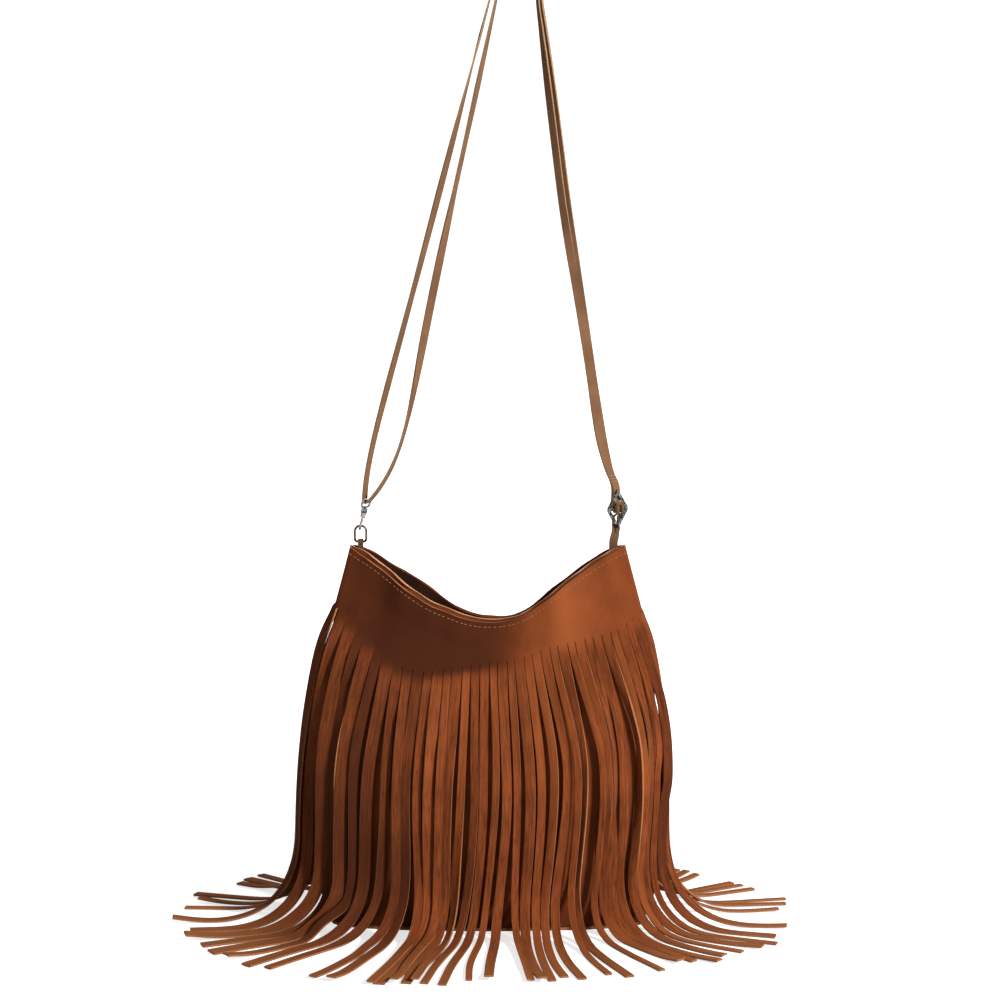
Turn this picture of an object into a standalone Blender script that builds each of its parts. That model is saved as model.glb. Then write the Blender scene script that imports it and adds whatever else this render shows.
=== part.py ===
"""A slouchy suede shoulder bag with a smooth yoke, a long cut fringe and a doubled strap.

The bag stands on its flat base at z = 0, its front faces -Y and +X is to the right of a viewer.
The walls, the lining and the fringe yokes are layers of one pouch shape, so each of them follows
the sizes below. The strap is one closed band: round the buckle's bar on the right, over the top,
through the snap hook's eye on the left, and back.
"""

import math

import bmesh
import bpy
import numpy as np
from mathutils import Matrix, Vector

# Pouch, in metres
BASE_THICKNESS = 0.0025
FOOT_HALF_WIDTH = 0.128
BELLY_HALF_WIDTH = 0.139
SHOULDER_HALF_WIDTH = 0.130
CORNER_HALF_WIDTH = 0.109
FOOT_HALF_DEPTH = 0.039
FOOT_SQUARENESS = 0.6
BELLY_HALF_DEPTH = 0.046
SHOULDER_HALF_DEPTH = 0.030
CORNER_HEIGHT = 0.311
RIM_MID_HEIGHT = 0.255
MOUTH_LEFT = 0.012
MOUTH_RIGHT = 0.006

# Layers
SUEDE = 0.0016
LINING = 0.0008
GAP = 0.0003
YOKE_GAP = 0.0005
LINING_GAP = 0.0005
TAB_PLY = 0.0010
SEAM_POCKET = 0.0030
LINING_DROP = 0.0015

# Fringe
STRIPS = 40
SLIT = 0.0006
STRIP_LENGTH = 0.330
STRIP_EXTRA_AT_SIDES = 0.020
SLIT_LEVEL = 0.845
SLIT_DIP = 0.045
HANG_SPREAD_MID = 0.004
HANG_SPREAD_SIDE = 0.016
LEAVE_HEIGHT = 0.070
FAN_HALF_WIDTH = 0.262
FAN_HALF_DEPTH = 0.192
FAN_CROWDING = 0.28
FLOOR_CLEARANCE = 0.0003

# Magnetic snap
SNAP_RADIUS = 0.008
SNAP_HALF_THICKNESS = 0.0032
SNAP_STUD_RADIUS = 0.0024
SNAP_DROP = 0.024

# Ring and tab on the left
RING_WIRE = 0.0010
RING_HALF_WIDTH = 0.0046
RING_HEIGHT = 0.0130
RING_CORNER = 0.0022
TAB_LEFT_WIDTH = 0.0044
TAB_TAIL = 0.016

# Snap hook
HOOK_TILT = math.radians(14)
HOOK_WIRE = 0.0010
HOOK_PLAY = 0.0009
HOOK_HALF_WIDTH = 0.0044
HOOK_PLATE_HEIGHT = 0.0095
HOOK_PLATE = 0.0022
COLLAR_RADIUS = 0.0026
COLLAR_LENGTH = 0.0028
POST_RADIUS = 0.0011
BORE_GAP = 0.0004
HEAD_RADIUS = 0.0020
HEAD_THICKNESS = 0.0013
PIN_RADIUS = 0.0006
PIN_INSET = 0.0006
GATE_HALF_THICKNESS = 0.0008
EAR_THICKNESS = 0.0010
EYE_WIRE = 0.0010
EYE_CORNER = 0.0024
EYE_HALF_HEIGHT = 0.0030
EYE_TURN = math.radians(30)

# Buckle and tab on the right
BUCKLE_X = 0.1045
BUCKLE_RISE = 0.030
BUCKLE_TURN = math.radians(35)
BUCKLE_HALF_HEIGHT = 0.0165
BUCKLE_HALF_WIDTH = 0.0105
BUCKLE_BAND = 0.0024
BUCKLE_THICKNESS = 0.0022
BAR_RADIUS = 0.0011
PRONG_RADIUS = 0.0008
PRONG_WALL = 0.0008
PRONG_EYE_HALF_WIDTH = 0.0012
PRONG_GAP = 0.0003
TAB_RIGHT_WIDTH = 0.0070
TAB_RIGHT_THICKNESS = 0.0012

# Strap
STRAP_WIDTH = 0.0064
STRAP_THICKNESS = 0.0016
STRAP_TOP_HEIGHT = 0.812
STRAP_TOP_X = 0.029
STRAP_TOP_RADIUS = 0.0100
LEFT_BOW_OUTER = 0.009
LEFT_BOW_INNER = 0.018
RIGHT_BOW = 0.008

# Facets
ANGLE_STATIONS = 19
WALL_ROWS = (0.0, 0.05, 0.12, 0.26, 0.41, 0.56, 0.69, 0.78, 0.845, 0.90, 0.95, 1.0)
HUG_LEVEL = WALL_ROWS[3]
WIRE_SIDES = 2

LAYERS = SUEDE + LINING_GAP + LINING
SEAM_HALF = LAYERS + SEAM_POCKET / 2
WALL_FOOT = BASE_THICKNESS + GAP
NECK_HALF_DEPTH = LAYERS + GAP + SNAP_HALF_THICKNESS
SUEDE_COLOUR = (0.27, 0.10, 0.04)


def clear_scene():
    for obj in list(bpy.data.objects):
        bpy.data.objects.remove(obj, do_unlink=True)


def collection_named(name):
    found = bpy.data.collections.new(name)
    bpy.context.scene.collection.children.link(found)
    return found


def material_of(name, colour, roughness, metallic=0.0):
    made = bpy.data.materials.new(name)
    made.use_nodes = True
    shader = made.node_tree.nodes["Principled BSDF"]
    shader.inputs["Base Color"].default_value = (*colour, 1.0)
    shader.inputs["Roughness"].default_value = roughness
    shader.inputs["Metallic"].default_value = metallic
    return made


def add_object(name, data, look, home):
    obj = bpy.data.objects.new(name, data)
    obj.data.materials.append(look)
    home.objects.link(obj)
    return obj


def smooth_through(places, values, at):
    """A smooth curve through the points (places, values), read at one place."""
    slopes = np.gradient(np.array(values), np.array(places))
    k = min(max(int(np.searchsorted(places, at)) - 1, 0), len(places) - 2)
    span = places[k + 1] - places[k]
    u = (at - places[k]) / span
    return (
        (2 * u**3 - 3 * u**2 + 1) * values[k]
        + (u**3 - 2 * u**2 + u) * span * slopes[k]
        + (3 * u**2 - 2 * u**3) * values[k + 1]
        + (u**3 - u**2) * span * slopes[k + 1]
    )


def half_width(level):
    places = (0.0, 0.07, 0.20, 0.48, 0.72, 1.0)
    widths = (
        FOOT_HALF_WIDTH,
        0.75 * BELLY_HALF_WIDTH + 0.25 * FOOT_HALF_WIDTH,
        BELLY_HALF_WIDTH,
        BELLY_HALF_WIDTH,
        SHOULDER_HALF_WIDTH,
        CORNER_HALF_WIDTH,
    )
    return smooth_through(places, widths, level)


def half_depth(level):
    places = (0.0, 0.10, 0.30, 0.55, 0.72, 0.86, 0.90, 1.0)
    depths = (
        FOOT_HALF_DEPTH,
        BELLY_HALF_DEPTH,
        BELLY_HALF_DEPTH,
        0.5 * (BELLY_HALF_DEPTH + SHOULDER_HALF_DEPTH),
        0.82 * SHOULDER_HALF_DEPTH,
        NECK_HALF_DEPTH + 0.0022,
        NECK_HALF_DEPTH,
        NECK_HALF_DEPTH,
    )
    return max(smooth_through(places, depths, level), NECK_HALF_DEPTH)


def squareness(level):
    """The pouch's plan is boxy at the foot, where the base holds it open, and an ellipse above."""
    share = min(max((level - 0.25) / 0.5, 0.0), 1.0)
    return FOOT_SQUARENESS + (1.0 - FOOT_SQUARENESS) * share


def rim_height(across):
    """The rim's height: high at the corners, and low in the middle where the snap pulls it shut."""
    share = 0.5 - 0.5 * math.cos(math.pi * abs(across) ** 1.15)
    return RIM_MID_HEIGHT + (CORNER_HEIGHT - RIM_MID_HEIGHT) * share


def mouth(side, across, level):
    """How far the rim bows out on each side of the snap."""
    reach = MOUTH_LEFT if across < 0 else MOUTH_RIGHT
    fade = min(max((level - 0.72) / 0.28, 0.0), 1.0)
    even = 1.0 if side < 0 else 0.8
    return reach * even * math.sin(math.pi * abs(across)) ** 1.5 * fade**2 * (3 - 2 * fade)


def wall_point(side, angle, level, out):
    """A point of the pouch: side -1 front or 1 back, angle across it, level from foot to rim."""
    across = math.sin(angle)
    wide = half_width(level) + out
    deep = half_depth(level) + out
    end = SEAM_HALF + out
    fullness = max(math.cos(angle), 0.0) ** squareness(level)
    y = end + (deep - end) * fullness + mouth(side, across, level)
    z = WALL_FOOT + level * (rim_height(across) - WALL_FOOT)
    return np.array((wide * across, side * y, z))


def stations():
    """(angle, at the seam) of each column edge: the seam's end, the wall, the seam's other end."""
    level = SLIT_LEVEL
    fine = np.linspace(-math.pi / 2, math.pi / 2, 361)
    points = np.array([wall_point(-1, angle, level, 0.0) for angle in fine])
    along = np.concatenate([[0], np.cumsum(np.linalg.norm(np.diff(points, axis=0), axis=1))])
    angles = np.interp(np.linspace(0, along[-1], ANGLE_STATIONS), along, fine)
    return [(angles[0], True)] + [(a, False) for a in angles] + [(angles[-1], True)]


STATIONS = stations()


def station_point(side, index, level, out):
    angle, at_seam = STATIONS[index]
    point = wall_point(side, angle, level, out)
    if at_seam:
        point[1] = side * GAP
    return point


def facet_point(side, place, level, out):
    """A point on the wall's own facets, so that layers with other columns stay parallel to it."""
    column = min(int(place), len(STATIONS) - 2)
    row = min(max(int(np.searchsorted(WALL_ROWS, level)) - 1, 0), len(WALL_ROWS) - 2)
    u = place - column
    v = (level - WALL_ROWS[row]) / (WALL_ROWS[row + 1] - WALL_ROWS[row])
    low = (1 - u) * station_point(side, column, WALL_ROWS[row], out)
    low = low + u * station_point(side, column + 1, WALL_ROWS[row], out)
    high = (1 - u) * station_point(side, column, WALL_ROWS[row + 1], out)
    high = high + u * station_point(side, column + 1, WALL_ROWS[row + 1], out)
    return (1 - v) * low + v * high


def surface_mesh(name, rows, wrap=False):
    """An open surface of quads through rows of points; wrap joins the two ends of each row."""
    mesh = bmesh.new()
    grid = [[mesh.verts.new(point) for point in row] for row in rows]
    for low, high in zip(grid, grid[1:]):
        count = len(low) if wrap else len(low) - 1
        for k in range(count):
            n = (k + 1) % len(low)
            mesh.faces.new((low[k], low[n], high[n], high[k]))
    return finish_mesh(name, mesh)


def finish_mesh(name, mesh):
    data = bpy.data.meshes.new(name)
    mesh.to_mesh(data)
    mesh.free()
    return data


def thicken(obj, thickness, offset):
    """Gives an open surface its thickness: offset 1 outward, -1 inward, 0 both ways."""
    shell = obj.modifiers.new("thickness", "SOLIDIFY")
    shell.thickness = thickness
    shell.offset = offset
    shell.use_even_offset = True
    return obj


def smooth(obj):
    obj.data.shade_smooth()
    obj.data.set_sharp_from_angle(angle=math.radians(40))


def wall(side, name, look, home):
    rows = []
    for level in WALL_ROWS:
        row = [station_point(side, k, level, 0.0) for k in range(len(STATIONS))]
        rows.append(row if side < 0 else row[::-1])
    obj = add_object(name, surface_mesh(name, rows), look, home)
    smooth(obj)
    return thicken(obj, SUEDE, -1)


def lining(look, home):
    """The lining bag: one ring of columns from the base up to just below the rim."""
    out = -(SUEDE + LINING_GAP)
    inner = range(1, len(STATIONS) - 1)
    mesh = bmesh.new()
    grid = []
    levels = [level for level in WALL_ROWS if level != 0.05]
    for level in levels:
        front = [station_point(-1, k, level, out) for k in inner]
        back = [station_point(1, k, level, out) for k in reversed(inner)]
        drop = Vector((0, 0, LINING_DROP * (level == 1.0)))
        grid.append([mesh.verts.new(Vector(point) - drop) for point in front + back])
    count = len(grid[0])
    for low, high in zip(grid, grid[1:]):
        for k in range(count):
            n = (k + 1) % count
            mesh.faces.new((low[k], low[n], high[n], high[k]))
    foot = grid[0]
    for k in range(len(inner) - 1):
        mesh.faces.new((foot[k + 1], foot[k], foot[count - 1 - k], foot[count - 2 - k]))
    obj = add_object("lining", finish_mesh("lining", mesh), look, home)
    smooth(obj)
    return thicken(obj, LINING, -1)


def base_panel(look, home):
    """A flat oval under the walls, with their outline."""
    front = [station_point(-1, k, 0.0, 0.0) for k in range(1, len(STATIONS) - 1)]
    back = [station_point(1, k, 0.0, 0.0) for k in range(len(STATIONS) - 2, 0, -1)]
    mesh = bmesh.new()
    outline = [mesh.verts.new((x, y, 0.0)) for x, y, _ in front + back]
    face = mesh.faces.new(outline)
    lifted = bmesh.ops.extrude_face_region(mesh, geom=[face])
    tops = [v for v in lifted["geom"] if isinstance(v, bmesh.types.BMVert)]
    bmesh.ops.translate(mesh, verts=tops, vec=(0, 0, BASE_THICKNESS))
    bmesh.ops.recalc_face_normals(mesh, faces=mesh.faces)
    return add_object("base_panel", finish_mesh("base_panel", mesh), look, home)


def plan_lengths():
    """Distance along the wall's plan, seam end to seam end, at each station."""
    points = [station_point(-1, k, SLIT_LEVEL, 0.0)[:2] for k in range(len(STATIONS))]
    steps = np.linalg.norm(np.diff(points, axis=0), axis=1)
    return np.concatenate([[0], np.cumsum(steps)])


def strip_edges():
    """The places along the stations of each strip's top: its two edges, and the wall's corner."""
    along = plan_lengths()
    pitch = along[-1] / STRIPS
    index = np.arange(len(along))
    edges = []
    for k in range(STRIPS):
        left = k * pitch + (SLIT / 2 if k else 0.0)
        right = (k + 1) * pitch - (SLIT / 2 if k < STRIPS - 1 else 0.0)
        first, last = np.interp((left, right), along, index)
        corners = [place for place in (1.0, len(along) - 2.0) if first < place < last]
        edges.append([float(first), *corners, float(last)])
    return edges


def angle_at(place):
    column = min(int(place), len(STATIONS) - 2)
    u = place - column
    return (1 - u) * STATIONS[column][0] + u * STATIONS[column + 1][0]


def slit_level(angle):
    return SLIT_LEVEL - SLIT_DIP * math.sin(math.pi * abs(math.sin(angle))) ** 2


def fan_tip(side, share):
    """Where a strip points on the floor: a spot on an oval, share -1 to 1 from seam to seam."""
    turns = np.linspace(0.0, math.pi / 2, 91)
    x, y = FAN_HALF_WIDTH * np.sin(turns), FAN_HALF_DEPTH * np.cos(turns)
    along = np.concatenate([[0], np.cumsum(np.hypot(np.diff(x), np.diff(y)))])
    spread = abs(share) * (1 - FAN_CROWDING + FAN_CROWDING * share * share)
    turn = float(np.interp(spread * along[-1], along, turns))
    tip_x = math.copysign(FAN_HALF_WIDTH * math.sin(turn), share)
    return np.array((tip_x, side * FAN_HALF_DEPTH * math.cos(turn), 0.0))


def fan_direction(side, place, angle):
    """The way a strip leaves the bag: from the wall's foot towards its spot on the fan."""
    along = plan_lengths()
    share = 2 * float(np.interp(place, np.arange(len(along)), along)) / along[-1] - 1
    start = wall_point(side, angle, HUG_LEVEL, 0.0)
    way = (fan_tip(side, share) - start) * (1, 1, 0)
    return way / np.linalg.norm(way)


def strip_course(side, place):
    """The middle line of a strip, from its slit to its tip, and the direction of its fan."""
    angle = angle_at(place)
    outward = fan_direction(side, place, angle)
    out = YOKE_GAP + SUEDE / 2
    edge = abs(math.sin(angle)) ** 4
    top_level = slit_level(angle)
    foot = facet_point(side, place, HUG_LEVEL, out)
    top = facet_point(side, place, top_level, out)
    spread = HANG_SPREAD_MID + (HANG_SPREAD_SIDE - HANG_SPREAD_MID) * edge
    course = []
    rim = rim_height(math.sin(angle))
    for share in (0.0, 0.25, 0.6, 1.0):
        z = top[2] + (LEAVE_HEIGHT - top[2]) * share
        level = (z - WALL_FOOT) / (rim - WALL_FOOT)
        point = facet_point(side, place, max(level, HUG_LEVEL), out)
        clear = spread * (0.30 * min(share * 5, 1.0) + 0.70 * share)
        course.append(np.array((*point[:2], z)) + outward * clear)
    rest = SUEDE / 2 + FLOOR_CLEARANCE
    start = np.array((*foot[:2], 0.0)) + outward * spread
    for reach, share in ((0.10, 0.50), (0.33, 0.17), (0.79, 0.0)):
        height = rest + (LEAVE_HEIGHT - rest) * share
        course.append(start + outward * LEAVE_HEIGHT * reach + np.array((0, 0, height)))
    length = STRIP_LENGTH + STRIP_EXTRA_AT_SIDES * abs(math.sin(angle)) ** 2
    used = float(np.linalg.norm(np.diff(course, axis=0), axis=1).sum())
    course.append(course[-1] + outward * (length - used))
    return course, outward


def fringe(side, name, look, home):
    """The yoke and its strips, cut from one sheet."""
    edges = strip_edges()
    mesh = bmesh.new()
    places = [place for strip in edges for place in strip]
    out = YOKE_GAP + SUEDE / 2
    levels = np.linspace(1.0, SLIT_LEVEL, 4)[:3]
    grid = [[mesh.verts.new(facet_point(side, p, level, out)) for p in places] for level in levels]
    grid.append([mesh.verts.new(facet_point(side, p, slit_level(angle_at(p)), out)) for p in places])
    for high, low in zip(grid, grid[1:]):
        for k in range(len(places) - 1):
            mesh.faces.new((low[k], low[k + 1], high[k + 1], high[k]))
    used = 0
    for strip in edges:
        course, outward = strip_course(side, 0.5 * (strip[0] + strip[-1]))
        across = np.cross((0, 0, 1), outward) * -side
        ends = grid[-1][used : used + len(strip)]
        used += len(strip)
        half = 0.5 * sum((b.co - a.co).length for a, b in zip(ends, ends[1:]))
        for point in course[1:]:
            nearest = GAP + half * abs(across[1])
            point[1] = side * max(side * point[1], nearest)
            pair = [mesh.verts.new(point - across * half), mesh.verts.new(point + across * half)]
            mesh.faces.new((*pair, *reversed(ends)))
            ends = pair
    if side > 0:
        bmesh.ops.reverse_faces(mesh, faces=mesh.faces)
    obj = add_object(name, finish_mesh(name, mesh), look, home)
    return thicken(obj, SUEDE, 0)


def cylinder(name, radius, low, high, look, home, segments=20):
    """A cylinder along Z from low to high, about the object's own origin."""
    mesh = bmesh.new()
    place = Matrix.Translation((0, 0, (low + high) / 2))
    bmesh.ops.create_cone(
        mesh, cap_ends=True, segments=segments, radius1=radius, radius2=radius,
        depth=high - low, matrix=place,
    )
    return add_object(name, finish_mesh(name, mesh), look, home)


def block(name, low, high, look, home):
    mesh = bmesh.new()
    size = Vector(high) - Vector(low)
    place = Matrix.Translation((Vector(low) + Vector(high)) / 2) @ Matrix.Diagonal((*size, 1))
    bmesh.ops.create_cube(mesh, size=1.0, matrix=place)
    return add_object(name, finish_mesh(name, mesh), look, home)


def tube(name, points, radius, look, home, closed=False):
    """A round wire through the points."""
    curve = bpy.data.curves.new(name, "CURVE")
    curve.dimensions = "3D"
    curve.bevel_depth = radius
    curve.bevel_resolution = WIRE_SIDES
    curve.use_fill_caps = not closed
    line = curve.splines.new("POLY")
    line.points.add(len(points) - 1)
    for spot, point in zip(line.points, points):
        spot.co = (*point, 1.0)
    line.use_cyclic_u = closed
    return add_object(name, curve, look, home)


def as_mesh(obj, home):
    """Replaces a curve by the mesh it draws, with its caps welded on."""
    bpy.context.view_layer.update()
    graph = bpy.context.evaluated_depsgraph_get()
    data = bpy.data.meshes.new_from_object(obj.evaluated_get(graph))
    mesh = bmesh.new()
    mesh.from_mesh(data)
    bmesh.ops.remove_doubles(mesh, verts=mesh.verts, dist=1e-6)
    mesh.to_mesh(data)
    mesh.free()
    name, place = obj.name, obj.matrix_world.copy()
    bpy.data.objects.remove(obj, do_unlink=True)
    made = bpy.data.objects.new(name, data)
    made.matrix_world = place
    home.objects.link(made)
    return made


def boolean(obj, tool, operation):
    """Adds or cuts the tool; the tool stays behind as a hidden wire."""
    step = obj.modifiers.new(tool.name, "BOOLEAN")
    step.operation = operation
    step.object = tool
    tool.hide_render = True
    tool.display_type = "WIRE"
    return obj


def arc(centre, radius, start, stop, count):
    """Points of an arc in a plane, as (across, up), angles in degrees."""
    turns = np.radians(np.linspace(start, stop, count))
    return [(centre[0] + radius * math.cos(t), centre[1] + radius * math.sin(t)) for t in turns]


def rounded_loop(half, low, high, low_corner, high_corner, count):
    """A closed loop as (across, up): rounded corners below and above."""
    points = arc((half - low_corner, low + low_corner), low_corner, -90, 0, count)
    points += arc((half - high_corner, high - high_corner), high_corner, 0, 90, count)
    points += arc((-half + high_corner, high - high_corner), high_corner, 90, 180, count)
    points += arc((-half + low_corner, low + low_corner), low_corner, 180, 270, count)
    kept = [points[0]]
    for point in points[1:]:
        if math.dist(point, kept[-1]) > 1e-5:
            kept.append(point)
    return kept


def ribbon(name, points, acrosses, width, thickness, look, home, closed=False):
    """A flat strap: its middle line, the direction of its width at each point, and its section."""
    rows = [[], []]
    for point, across in zip(points, acrosses):
        side = np.array(across) / np.linalg.norm(across) * width / 2
        rows[0].append(np.array(point) - side)
        rows[1].append(np.array(point) + side)
    obj = add_object(name, surface_mesh(name, rows, wrap=closed), look, home)
    return thicken(obj, thickness, 0)


def snap(looks, home, tools):
    """The magnetic snap: a stud half on the front lining and a socket half on the back."""
    height = RIM_MID_HEIGHT - SNAP_DROP
    face = GAP / 2
    back = SNAP_HALF_THICKNESS
    stud_top = 0.45 * SNAP_HALF_THICKNESS
    turn = Matrix.Rotation(math.radians(-90), 4, "X")
    place = Matrix.Translation((0, 0, height)) @ turn
    stud = cylinder("snap_stud", SNAP_RADIUS, -back, -face, looks["silver"], home, 24)
    pip = cylinder("stud_pip", SNAP_STUD_RADIUS, -back / 2, stud_top, looks["silver"], tools)
    socket = cylinder("snap_socket", SNAP_RADIUS, face, back, looks["silver"], home, 24)
    hole = cylinder("socket_hole", SNAP_STUD_RADIUS + GAP, -back, stud_top + GAP, looks["silver"], tools)
    for obj in (stud, pip, socket, hole):
        obj.matrix_world = place
    boolean(stud, pip, "UNION")
    boolean(socket, hole, "DIFFERENCE")


def tab_centre_x():
    return -(CORNER_HALF_WIDTH - LAYERS - GAP - TAB_LEFT_WIDTH / 2 - 0.0010)


def ring_bar_height():
    """The ring's lower bar sits in the tab's loop, just above the corner."""
    return CORNER_HEIGHT + TAB_PLY + GAP + RING_WIRE + 0.0012


def tab_left(look, home):
    """A short strip folded round the ring's lower bar, both ends sewn into the corner."""
    bar = ring_bar_height()
    apart = TAB_PLY / 2 + GAP / 4
    turn = RING_WIRE + GAP + TAB_PLY / 2
    low = CORNER_HEIGHT - TAB_TAIL
    side = [(apart, low), (apart, low + TAB_TAIL * 0.5), (apart, bar - 1.9 * turn), (0.6 * turn, bar - 1.15 * turn)]
    loop = arc((0, bar), turn, -35, 215, 11)
    course = side + loop + [(-y, z) for y, z in reversed(side)]
    x = tab_centre_x()
    points = [(x, y, z) for y, z in course]
    return ribbon("tab_left", points, [(1, 0, 0)] * len(points), TAB_LEFT_WIDTH, TAB_PLY, look, home)


def ring_left(look, home):
    """The dark oval ring; its origin is on the axis of its lower bar."""
    outline = rounded_loop(RING_HALF_WIDTH, 0.0, RING_HEIGHT, RING_CORNER, RING_HALF_WIDTH, 6)
    ring = tube("ring_left", [(x, 0, z) for x, z in outline], RING_WIRE, look, home, closed=True)
    ring.location = (tab_centre_x(), 0, ring_bar_height())
    return ring


def hook_frame():
    """The snap hook's own axes: origin in the ring's upper bar, Z up its stem."""
    top = ring_bar_height() + RING_HEIGHT
    return Matrix.Translation((tab_centre_x(), 0, top)) @ Matrix.Rotation(HOOK_TILT, 4, "Y")


def hook_sizes():
    """Heights along the hook's stem, from the ring's upper bar."""
    bottom = -(RING_WIRE + HOOK_PLAY + HOOK_WIRE)
    centre = bottom + HOOK_HALF_WIDTH
    plate = HOOK_PLATE_HEIGHT
    collar = plate + HOOK_PLATE
    top = collar + COLLAR_LENGTH
    return bottom, centre, plate, collar, top


def gate_eye_radius():
    return 2 * PIN_RADIUS + GAP


def gate_pin_place():
    _, _, plate, _, _ = hook_sizes()
    return HOOK_HALF_WIDTH - PIN_INSET, plate - gate_eye_radius() - GAP


def hook_body(looks, home, tools, pivot):
    """The open bow, its head plate with two ears for the gate's pin, and the bored collar."""
    _, centre, plate, collar, top = hook_sizes()
    pin_y, pin_z = gate_pin_place()
    silver = looks["silver"]
    tip = [(HOOK_HALF_WIDTH, centre + HOOK_WIRE)]
    bow = tip + arc((0, centre), HOOK_HALF_WIDTH, 0, -180, 13)
    bow += [(-HOOK_HALF_WIDTH, (centre + plate) / 2), (-HOOK_HALF_WIDTH, plate + HOOK_PLATE / 2)]
    wire = tube("bow_wire", [(0, y, z) for y, z in bow], HOOK_WIRE, silver, tools)
    body = as_mesh(wire, home)
    body.name = "hook_body"
    reach = HOOK_HALF_WIDTH + HOOK_WIRE
    ear_in = GATE_HALF_THICKNESS + GAP
    ear_out = ear_in + EAR_THICKNESS
    head = block("head_plate", (-ear_out, -reach, plate), (ear_out, reach, collar), silver, tools)
    boolean(body, head, "UNION")
    neck = cylinder("neck", COLLAR_RADIUS, plate + HOOK_PLATE / 2, top, silver, tools)
    boolean(body, neck, "UNION")
    low = pin_z - PIN_RADIUS * 2.5
    inner = pin_y - PIN_RADIUS * 2.4
    for side in (-1, 1):
        near, far = sorted((side * ear_in, side * ear_out))
        ear = block(f"ear_{side}", (near, inner, low), (far, reach, plate + HOOK_PLATE / 3), silver, tools)
        boolean(body, ear, "UNION")
    bore = cylinder("bore", POST_RADIUS + BORE_GAP, plate - HOOK_PLATE, top + HOOK_PLATE, silver, tools)
    boolean(body, bore, "DIFFERENCE")
    pin_hole = cylinder("pin_hole", PIN_RADIUS + GAP, -2 * ear_out, 2 * ear_out, silver, tools, 16)
    pin_hole.matrix_world = Matrix.Translation((0, pin_y, pin_z)) @ Matrix.Rotation(math.pi / 2, 4, "Y")
    boolean(body, pin_hole, "DIFFERENCE")
    body.data.materials.clear()
    body.data.materials.append(silver)
    body.parent = pivot
    for tool in (head, neck, bore, pin_hole):
        tool.parent = pivot
    for side in (-1, 1):
        tools.objects[f"ear_{side}"].parent = pivot
    return ear_out


def hook_gate(looks, home, tools, pivot, ear_out):
    """The sprung gate: an eye on the pin and a bar down to the bow's tip."""
    _, centre, _, _, _ = hook_sizes()
    pin_y, pin_z = gate_pin_place()
    silver = looks["silver"]
    turn = Matrix.Rotation(math.pi / 2, 4, "Y")
    eye_radius = gate_eye_radius()
    gate = cylinder("hook_gate", eye_radius, -GATE_HALF_THICKNESS, GATE_HALF_THICKNESS, silver, home, 16)
    gate.data.transform(turn)
    tip_z = centre + HOOK_WIRE + GAP - pin_z
    half = GATE_HALF_THICKNESS
    shift = HOOK_HALF_WIDTH - pin_y
    bar = block("gate_bar", (-half, shift - HOOK_WIRE, tip_z), (half, shift + HOOK_WIRE * 0.6, -eye_radius * 0.3), silver, tools)
    hole = cylinder("gate_hole", PIN_RADIUS + GAP, -3 * half, 3 * half, silver, tools, 16)
    hole.data.transform(turn)
    boolean(gate, bar, "UNION")
    boolean(gate, hole, "DIFFERENCE")
    pin = cylinder("gate_pin", PIN_RADIUS, -ear_out, ear_out, silver, home, 12)
    pin.data.transform(turn)
    for obj in (gate, bar, hole, pin):
        obj.parent = pivot
        obj.location = (0, pin_y, pin_z)


def eye_half_width():
    return STRAP_WIDTH / 2 + 2 * GAP + EYE_CORNER


def eye_height():
    """The middle of the swivel eye, along the hook's stem."""
    _, _, _, _, top = hook_sizes()
    return top + GAP + EYE_WIRE + EYE_HALF_HEIGHT


def swivel_eye(looks, home, tools, pivot):
    """The eye that carries the strap, on a post whose head turns inside the hook."""
    _, _, plate, _, top = hook_sizes()
    silver = looks["silver"]
    middle = eye_height()
    loop = rounded_loop(eye_half_width(), -EYE_HALF_HEIGHT, EYE_HALF_HEIGHT, EYE_CORNER, EYE_CORNER, 5)
    across = (math.sin(EYE_TURN), math.cos(EYE_TURN))
    points = [(across[0] * s, across[1] * s, middle + z) for s, z in loop]
    eye = as_mesh(tube("eye_wire", points, EYE_WIRE, silver, tools, closed=True), home)
    eye.name = "swivel_eye"
    post = cylinder("post", POST_RADIUS, plate - GAP - HEAD_THICKNESS / 2, middle - EYE_HALF_HEIGHT, silver, tools)
    head = cylinder("post_head", HEAD_RADIUS, plate - GAP - HEAD_THICKNESS, plate - GAP, silver, tools)
    boolean(eye, post, "UNION")
    boolean(eye, head, "UNION")
    eye.data.materials.clear()
    eye.data.materials.append(silver)
    for obj in (eye, post, head):
        obj.parent = pivot


def buckle_frame_matrix():
    """The buckle's own axes: X along its bar, Y out of its face, Z up."""
    place = Matrix.Translation((BUCKLE_X, 0, CORNER_HEIGHT + BUCKLE_RISE))
    return place @ Matrix.Rotation(BUCKLE_TURN + math.pi, 4, "Z")


def diamond(half_width_, half_height, blunt):
    """A diamond's outline with its four points cut blunt."""
    w, h, b = half_width_, half_height, blunt
    return [
        (w - b, -h * b / w), (w - b, h * b / w), (w * b / h, h - b), (-w * b / h, h - b),
        (-w + b, h * b / w), (-w + b, -h * b / w), (-w * b / h, -h + b), (w * b / h, -h + b),
    ]


def outline_plate(name, outlines, thickness, look, home):
    """A flat plate: the first outline, with the others as holes, its edges slightly rounded."""
    curve = bpy.data.curves.new(name, "CURVE")
    curve.dimensions = "2D"
    curve.fill_mode = "BOTH"
    curve.extrude = thickness / 2
    for outline in outlines:
        line = curve.splines.new("POLY")
        line.points.add(len(outline) - 1)
        for spot, (x, y) in zip(line.points, outline):
            spot.co = (x, y, 0, 1)
        line.use_cyclic_u = True
    return add_object(name, curve, look, home)


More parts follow.
